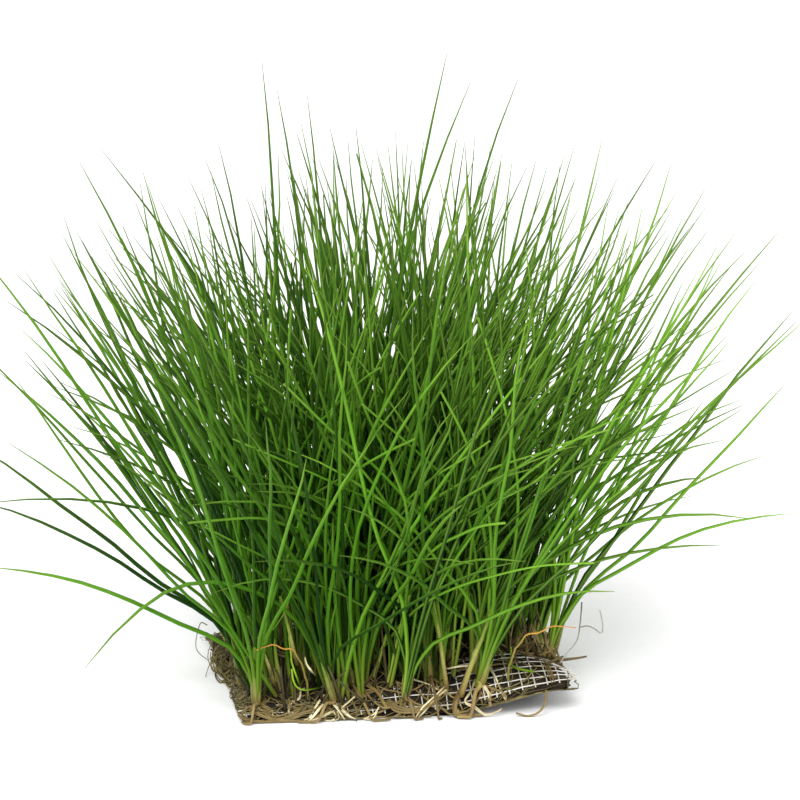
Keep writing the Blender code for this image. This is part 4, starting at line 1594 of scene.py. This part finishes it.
def trace(stems, points, radius, end, shade, low=0.0, high=1.0):
    """A stem through traced points, radius thick at the first and end thick at the last, in millimetres."""
    above = (radius + TRACE_ABOVE) * MM
    route = [
        place_at_depth(point[0], point[1], point[2] * MM) if len(point) == 3 else place_on_slab(*point, above)
        for point in points
    ]
    count = TRACE_DENSITY * len(route)
    radii = [(radius + (end - radius) * k / (count - 1)) * MM for k in range(count)]
    stems.add(smooth_line(route, count), radii, shade, low, high)

# %% Pale roots and the fan under the front crown
STRAND_DRIFT = 1.6  # pixels
# Each trace is the radius at its start and its end, in millimetres, and its pixels.
PALE_TRACES = [
    (0.25, 0.18, [(305, 657, -31), (307, 664, -31.5), (312, 671, -32), (318, 678), (322, 687)]),
    (0.28, 0.16, [(300, 687), (300, 698), (290, 705), (290, 715)]),
    (0.42, 0.25, [(323, 696), (316, 706), (310, 717), (304, 722)]),
    (0.42, 0.25, [(327, 700), (318, 710), (309, 720), (297, 725)]),
    (0.38, 0.20, [(330, 700), (337, 708), (345, 722)]),
    (0.36, 0.22, [(334, 711), (322, 717), (312, 723), (290, 726), (262, 726)]),
    (0.22, 0.15, [(337, 711), (339, 717), (336, 723), (328, 724)]),
    (0.40, 0.24, [(331, 698), (336, 706), (348, 716), (356, 724)]),
    (0.22, 0.22, [(335, 665, -27), (343, 669, -27), (352, 673)]),
    (0.30, 0.18, [(379, 707), (374, 714), (364, 720)]),
    (0.24, 0.16, [(364, 689), (349, 702), (342, 708)]),
    (0.24, 0.14, [(394, 659), (404, 664), (414, 670)]),
    (0.24, 0.20, [(399, 673), (413, 679), (428, 684), (437, 689)]),
    (0.20, 0.14, [(406, 655), (425, 661)]),
    (0.20, 0.20, [(448, 669, -27), (458, 667, -27), (470, 666, -27)]),
    (0.42, 0.24, [(445, 687), (433, 698), (422, 708), (416, 721)]),
    (0.32, 0.20, [(479, 678), (484, 686), (491, 696)]),
    (0.36, 0.24, [(477, 679), (483, 687), (489, 694), (491, 706)]),
    (0.34, 0.22, [(487, 664), (492, 671), (496, 678), (505, 699)]),
    (0.34, 0.20, [(474, 682), (471, 692), (465, 702), (474, 708), (485, 715), (494, 713), (501, 710)]),
    (0.30, 0.20, [(480, 642, -30), (473, 654, -31), (470, 671, -32)]),
]
TAN_TRACES = [
    (0.40, 0.26, [(240, 716), (252, 722), (270, 724), (288, 719), (300, 716), (318, 706)]),
    (0.36, 0.22, [(246, 706), (262, 716), (280, 722), (296, 720)]),
    (0.34, 0.22, [(262, 712), (276, 719), (296, 713), (306, 704)]),
    (0.45, 0.30, [(242, 726), (261, 724), (282, 721), (300, 714), (311, 711)]),
    (0.40, 0.28, [(248, 721), (270, 726), (292, 725), (310, 720), (328, 712)]),
    (0.36, 0.24, [(285, 719), (302, 714), (318, 709)]),
    (0.50, 0.35, [(252, 728), (275, 730), (300, 728), (322, 724)]),
    (0.34, 0.20, [(261, 689), (258, 698), (254, 707)]),
    (0.30, 0.22, [(241, 680), (247, 690), (261, 695), (266, 704)]),
    (0.36, 0.30, [(259, 652, -24), (274, 653, -24), (289, 658, -24)]),
    (0.60, 0.50, [(446, 687), (434, 700), (421, 709), (407, 711), (395, 708), (387, 701)]),
    (0.34, 0.24, [(361, 675), (368, 677), (375, 684), (379, 693)]),
    (0.30, 0.20, [(461, 715), (463, 721), (471, 724), (480, 720), (482, 716)]),
    (0.36, 0.24, [(531, 625, -30), (536, 638, -31), (540, 650), (546, 664), (553, 680)]),
]
LOOP_TRACES = [
    (0.30, 0.24, [(546, 690, -35.6), (545, 703, -36), (539, 712, -36.2), (528, 716, -36.2), (516, 713)]),
    (0.30, 0.18, [(364, 689), (372, 700), (385, 708), (398, 703), (404, 694)]),
    (0.26, 0.16, [(416, 690), (428, 700), (440, 699), (449, 690)]),
]
SHEATHED_TRACES = [
    (0.58, 0.38, [(447, 688), (444, 668, -33), (440, 640, -32), (435, 612, -31), (430, 586, -30)]),
    (0.72, 0.45, [(461, 696), (468, 674, -35), (476, 652, -34), (485, 630, -33), (495, 600, -32)]),
    (0.55, 0.35, [(299, 672), (293, 648, -33), (287, 622, -32), (280, 596, -31)]),
    (0.50, 0.30, [(276, 690), (268, 664, -34), (258, 640, -33), (248, 616, -32)]),
]
RUNNER_TRACES = [
    (0.45, 0.55, [(357, 674), (364, 684), (374, 690), (381, 698), (387, 708)]),
    (0.75, 0.95, [(483, 641, -30), (472, 661, -31), (463, 684), (455, 702), (455, 714)]),
    (0.95, 0.45, [(455, 712), (458, 721), (465, 726), (473, 724), (481, 720)]),
]


def build_traced(name, surface, traces, seed, sides, strands=1, thin=1.0):
    """Each trace is drawn as one stem, or as some thinner strands that lie about the same line."""
    dice, stems = random.Random(seed), Stems()
    for radius, end, points in traces:
        for strand in range(strands):
            shift = STRAND_DRIFT * (strand > 0)
            aside, below = dice.gauss(0, shift), dice.gauss(0, shift)
            near = [
                (px + aside + dice.gauss(0, shift / 3), py + below + dice.gauss(0, shift / 3), *depth)
                for px, py, *depth in points
            ]
            trace(stems, near, radius * thin, end * thin, dice.uniform(0.35, 1.0))
    own(stems.draw(name, surface, sides), [])


build_traced("pale_roots", PALE_ROOT, PALE_TRACES, 41, 6, 2, 0.72)
build_traced("tan_roots", ROOT, TAN_TRACES, 42, 6, 4, 0.55)
build_traced("root_loops", ROOT, LOOP_TRACES, 46, 6)
build_traced("sheathed_stems", SHEATH, SHEATHED_TRACES, 47, 8)
build_traced("brown_runners", RHIZOME, RUNNER_TRACES, 43, 10, 3, 0.55)

# %% [markdown]
# ## Blades and shoots at the front
#
# The blades that cross in front of the crowd are placed in the same way. A blade's first pixel is its foot
# on the slab, and from there it comes forward evenly, to the depth that is given for its tip. Small yellow
# shoots lie at the front too: one curls back to its crown, and another has crept over the bare net.

# %% Blades and shoots at the front
IN_FRONT = 10.0  # millimetres that every tip comes further forward, out of the crowd
FRONT_THIN = 0.88
# Each blade is its radius at foot and tip and the depth of its tip, in millimetres, and its pixels.
FRONT_BLADES = [
    (0.60, 0.28, -46, [
        (358, 672), (352, 620), (338, 574), (318, 544), (300, 531), (283, 524), (254, 518), (188, 523),
    ]),
    (0.42, 0.22, -40, [(376, 668), (345, 614), (322, 597), (300, 578), (270, 560), (240, 545), (205, 527)]),
    (0.62, 0.28, -42, [
        (327, 690), (310, 640), (307, 600), (310, 568), (324, 520), (352, 476), (380, 456), (415, 439),
    ]),
    (0.60, 0.30, -37, [(330, 690), (321, 640), (324, 582), (340, 512), (364, 452), (384, 405), (398, 352)]),
    (0.50, 0.22, -36, [(326, 684), (310, 610), (314, 530), (324, 478), (340, 428), (352, 388), (360, 350)]),
    (0.38, 0.14, -40, [(322, 680), (312, 600), (319, 535), (336, 496), (348, 472), (352, 453)]),
    (0.50, 0.25, -38, [
        (300, 676), (288, 600), (287, 530), (292, 474), (308, 438), (328, 414), (360, 382), (380, 368),
    ]),
    (0.52, 0.30, -38, [
        (306, 676), (303, 610), (302, 550), (301, 512), (293, 476), (289, 430), (288, 370), (291, 310),
    ]),
    (0.50, 0.28, -40, [(318, 682), (306, 620), (288, 556), (270, 505), (254, 452), (241, 405), (230, 350)]),
    (0.45, 0.24, -37, [(352, 676), (345, 592), (322, 548), (298, 510), (272, 474), (246, 432), (228, 402)]),
    (0.45, 0.20, -44, [
        (444, 682), (436, 596), (408, 530), (380, 504), (345, 488), (305, 470), (270, 455), (233, 439),
    ]),
    (0.62, 0.28, -44, [
        (474, 672), (470, 606), (455, 562), (430, 528), (405, 498), (370, 462), (335, 434), (284, 384),
    ]),
    (0.62, 0.32, -41, [
        (472, 670), (468, 600), (442, 541), (420, 514), (402, 486), (386, 452), (366, 412), (348, 362),
    ]),
    (0.60, 0.28, -42, [(446, 684), (436, 622), (420, 578), (402, 532), (384, 500), (366, 475), (340, 448)]),
    (0.38, 0.18, -35, [(380, 668), (368, 598), (356, 558), (345, 524)]),
    (0.36, 0.20, -40, [(392, 660), (384, 604), (362, 570), (340, 566), (315, 565), (295, 561)]),
    (0.52, 0.24, -46, [
        (364, 670), (385, 645), (405, 620), (425, 603), (455, 588), (490, 577), (540, 566), (594, 563),
    ]),
    (0.58, 0.30, -42, [(374, 677), (395, 610), (412, 574), (436, 548), (460, 535), (482, 526), (505, 523)]),
    (0.52, 0.24, -43, [(388, 682), (408, 600), (430, 548), (460, 522), (500, 500), (534, 482), (560, 458)]),
    (0.52, 0.24, -40, [(454, 676), (466, 600), (474, 530), (490, 494), (512, 472), (550, 449), (608, 430)]),
    (0.46, 0.24, -43, [(356, 676), (364, 600), (378, 545), (398, 511), (430, 480), (462, 460), (490, 441)]),
    (0.64, 0.28, -42, [(480, 672), (494, 620), (492, 570), (489, 518), (478, 474), (462, 432), (441, 392)]),
    (0.54, 0.30, -37, [
        (486, 668), (502, 620), (514, 550), (518, 500), (514, 456), (505, 410), (492, 362), (478, 318),
    ]),
    (0.44, 0.22, -40, [(476, 674), (482, 610), (498, 556), (522, 520), (556, 484), (600, 452)]),
    (0.46, 0.24, -41, [(480, 672), (480, 600), (470, 524), (452, 486), (424, 458), (390, 428), (362, 404)]),
    (0.38, 0.18, -36, [(452, 676), (458, 560), (455, 480), (450, 438), (441, 402)]),
    (0.50, 0.24, -40, [(486, 672), (500, 628), (520, 590), (552, 553), (590, 515), (628, 486)]),
    (0.58, 0.26, -45, [(276, 696), (264, 678), (236, 636), (206, 590), (176, 548), (140, 508)]),
    (0.52, 0.24, -43, [(272, 690), (258, 650), (240, 604), (214, 548), (188, 500), (160, 452)]),
    (0.50, 0.24, -40, [(270, 688), (262, 640), (248, 580), (232, 516), (214, 450), (196, 398)]),
]
SHOOTS = [
    (0.30, 0.22, [(289, 636, -31), (291, 653, -32), (292, 663, -32.5), (297, 678, -33), (300, 686)]),
    (0.26, 0.20, [(292, 669, -33), (293, 679, -34), (297, 687, -34.3), (305, 690, -34.3), (319, 688)]),
    (0.28, 0.34, [
        (497, 634, -30), (496, 645, -30), (503, 655), (509, 663), (516, 668), (524, 670), (533, 672),
    ]),
    (0.20, 0.12, [(511, 647, -27), (511, 653, -28), (509, 662)]),
    (0.24, 0.14, [(289, 600, -34), (283, 615, -34), (273, 630, -33)]),
]


def come_forward(pixels, tip_depth):
    """Gives every pixel after the foot its depth, in millimetres."""
    foot_depth = place_on_slab(*pixels[0], 0).y / MM
    step = (tip_depth - foot_depth) / (len(pixels) - 1)
    return [pixels[0]] + [(px, py, foot_depth + step * k) for k, (px, py) in enumerate(pixels[1:], 1)]


def build_front_green():
    dice, stems = random.Random(44), Stems()
    for radius, end, tip_depth, pixels in FRONT_BLADES:
        forward = come_forward(pixels, tip_depth - IN_FRONT)
        trace(stems, forward, radius * FRONT_THIN, end, dice.uniform(0.5, 0.9), 0.03, 0.95)
    for radius, end, points in SHOOTS:
        trace(stems, points, radius, end, 1.0, 0.06, 0.2)
    return stems.draw("front_blades", LEAF, 7)


own(build_front_green(), [])

# %% [markdown]
# ## Dead blades and curled hairs
#
# Two blades have died and fallen sideways across the front. They keep the route of their solids, with the
# small kinks that a dry blade gets: noise moves their points up and down, which a smooth curve alone
# wouldn't show.

# %% Dead blades
DRY_STEPS = 18
DRY_KINK = 1.5 * MM
DRY_THIN = 0.7


def build_dead_blades():
    dice = random.Random(8)
    for name, course in DEAD_BLADES.items():
        line = dead_line(*course)
        points = points_along(line, DRY_STEPS)
        for k in range(2, len(points)):
            kink = DRY_KINK * wobble((k * 0.37, line["foot"].x, line["foot"].y), 1.0)
            points[k] = points[k] + Vector((0, 0, kink))
        stems = Stems()
        stems.add(points, tapering(DRY_THIN * DEAD_RADIUS, 0.6, len(points)), dice.uniform(0.6, 0.9))
        own(stems.draw(name + "_dry", DEAD, 6), [name])


build_dead_blades()

# %% [markdown]
# A few grey, hair-thin roots curl away from the sides, and behind the bare net lies a heap of dry straw
# bits. The hairs can be told apart, so they are traced. The bits can't, so they are strewn round one place
# at random.

# %% Curled hairs and dry crumbs
HAIRS = [
    (0.16, 0.10, [(207, 625, 6), (200, 624, 4), (196, 648, 2), (209, 661, 4)]),
    (0.20, 0.14, [(215, 634, 8), (211, 643, 8), (213, 650, 8)]),
    (0.14, 0.08, [(210, 663, 6), (206, 675, 4), (205, 685, 4)]),
    (0.20, 0.14, [(582, 602, -8), (580, 625, -10), (577, 640, -14), (568, 652, -20), (560, 663, -24)]),
    (0.18, 0.16, [
        (580, 627, -10), (588, 626, -10), (595, 629, -10), (601, 633, -10), (603, 626, -10), (600, 610, -8),
    ]),
]
CRUMBS = 44
CRUMB_CENTRE, CRUMB_STREWN = (31.0, -14.0), (5, 4)
CRUMB_ABOVE = (0.2, 1.5)
CRUMB_LEAN = (25, 85)
CRUMB_LENGTH, CRUMB_RADIUS = (3, 9), (0.2, 0.5)
CRUMB_BOW = 0.15


def build_hairs():
    stems = Stems()
    for n, (radius, end, points) in enumerate(HAIRS):
        trace(stems, points, radius, end, 0.2 + 0.15 * n)
    return stems.draw("curled_hairs", HAIR, 5)


def build_crumbs():
    dice, stems = random.Random(45), Stems()
    for _ in range(CRUMBS):
        x, y = (dice.gauss(middle, strewn) * MM for middle, strewn in zip(CRUMB_CENTRE, CRUMB_STREWN))
        foot = on_slab(x, y, dice.uniform(*CRUMB_ABOVE) * MM)
        course = direction(dice.uniform(0, math.tau), math.radians(dice.uniform(*CRUMB_LEAN)))
        length, radius = dice.uniform(*CRUMB_LENGTH) * MM, dice.uniform(*CRUMB_RADIUS) * MM
        bow = Vector((dice.gauss(0, CRUMB_BOW), dice.gauss(0, CRUMB_BOW), 0)) * length
        stems.add(bowed(foot, course * length, bow, 5), tapering(radius, 0.5, 6), dice.random())
    return stems.draw("straw_crumbs", ROOT, 5)


own(build_hairs(), [])
own(build_crumbs(), [])

# %% [markdown]
# On the left rim stands a curled tuft of dry roots. One tangled line would be hard to control, so the tuft
# is made of loops that stand off the rim, each an arc of a circle in a plane of its own.

# %% A curled tuft of dry roots on the left rim
RIM_LOOPS = 34
RIM_LOOP_ALONG = (-6.0 * MM, 20.0 * MM, 8.0 * MM)  # first, last and commonest place along the rim
RIM_LOOP_HEIGHT = 3 * MM
RIM_LOOP_SIZE, RIM_LOOP_RADIUS = (1.4, 3.6), (0.16, 0.4)
RIM_LOOP_SWEEP, RIM_LOOP_START = (2.6, 5.2), (2.4, 4.0)
RIM_LOOP_STEPS = 12


def build_rim_loops():
    dice, stems = random.Random(48), Stems()
    for _ in range(RIM_LOOPS):
        y = dice.triangular(*RIM_LOOP_ALONG)
        rim_x = -MAT_WIDTH / 2 * (1 + BACK_WIDER * (y / MAT_DEPTH + 0.5)) - BACK_SHIFT * 0.5
        centre = Vector((rim_x, y, drape(-MAT_WIDTH * 0.56, y, 0).z + RIM_LOOP_HEIGHT))
        out = direction(math.pi + dice.gauss(0, 0.5), math.pi / 2)
        up = direction(dice.uniform(0, math.tau), abs(dice.gauss(0, 0.5)))
        size, sweep = dice.uniform(*RIM_LOOP_SIZE) * MM, dice.uniform(*RIM_LOOP_SWEEP)
        start = dice.uniform(*RIM_LOOP_START)
        turns = [start + sweep * k / RIM_LOOP_STEPS for k in range(RIM_LOOP_STEPS + 1)]
        points = [centre + out * size * (0.4 + math.cos(t)) + up * size * 1.2 * math.sin(t) for t in turns]
        radii = tapering(dice.uniform(*RIM_LOOP_RADIUS) * MM, 0.48, len(points))
        stems.add(points, radii, dice.random())
    return stems.draw("rim_loops", FELT, 6)


own(build_rim_loops(), [])
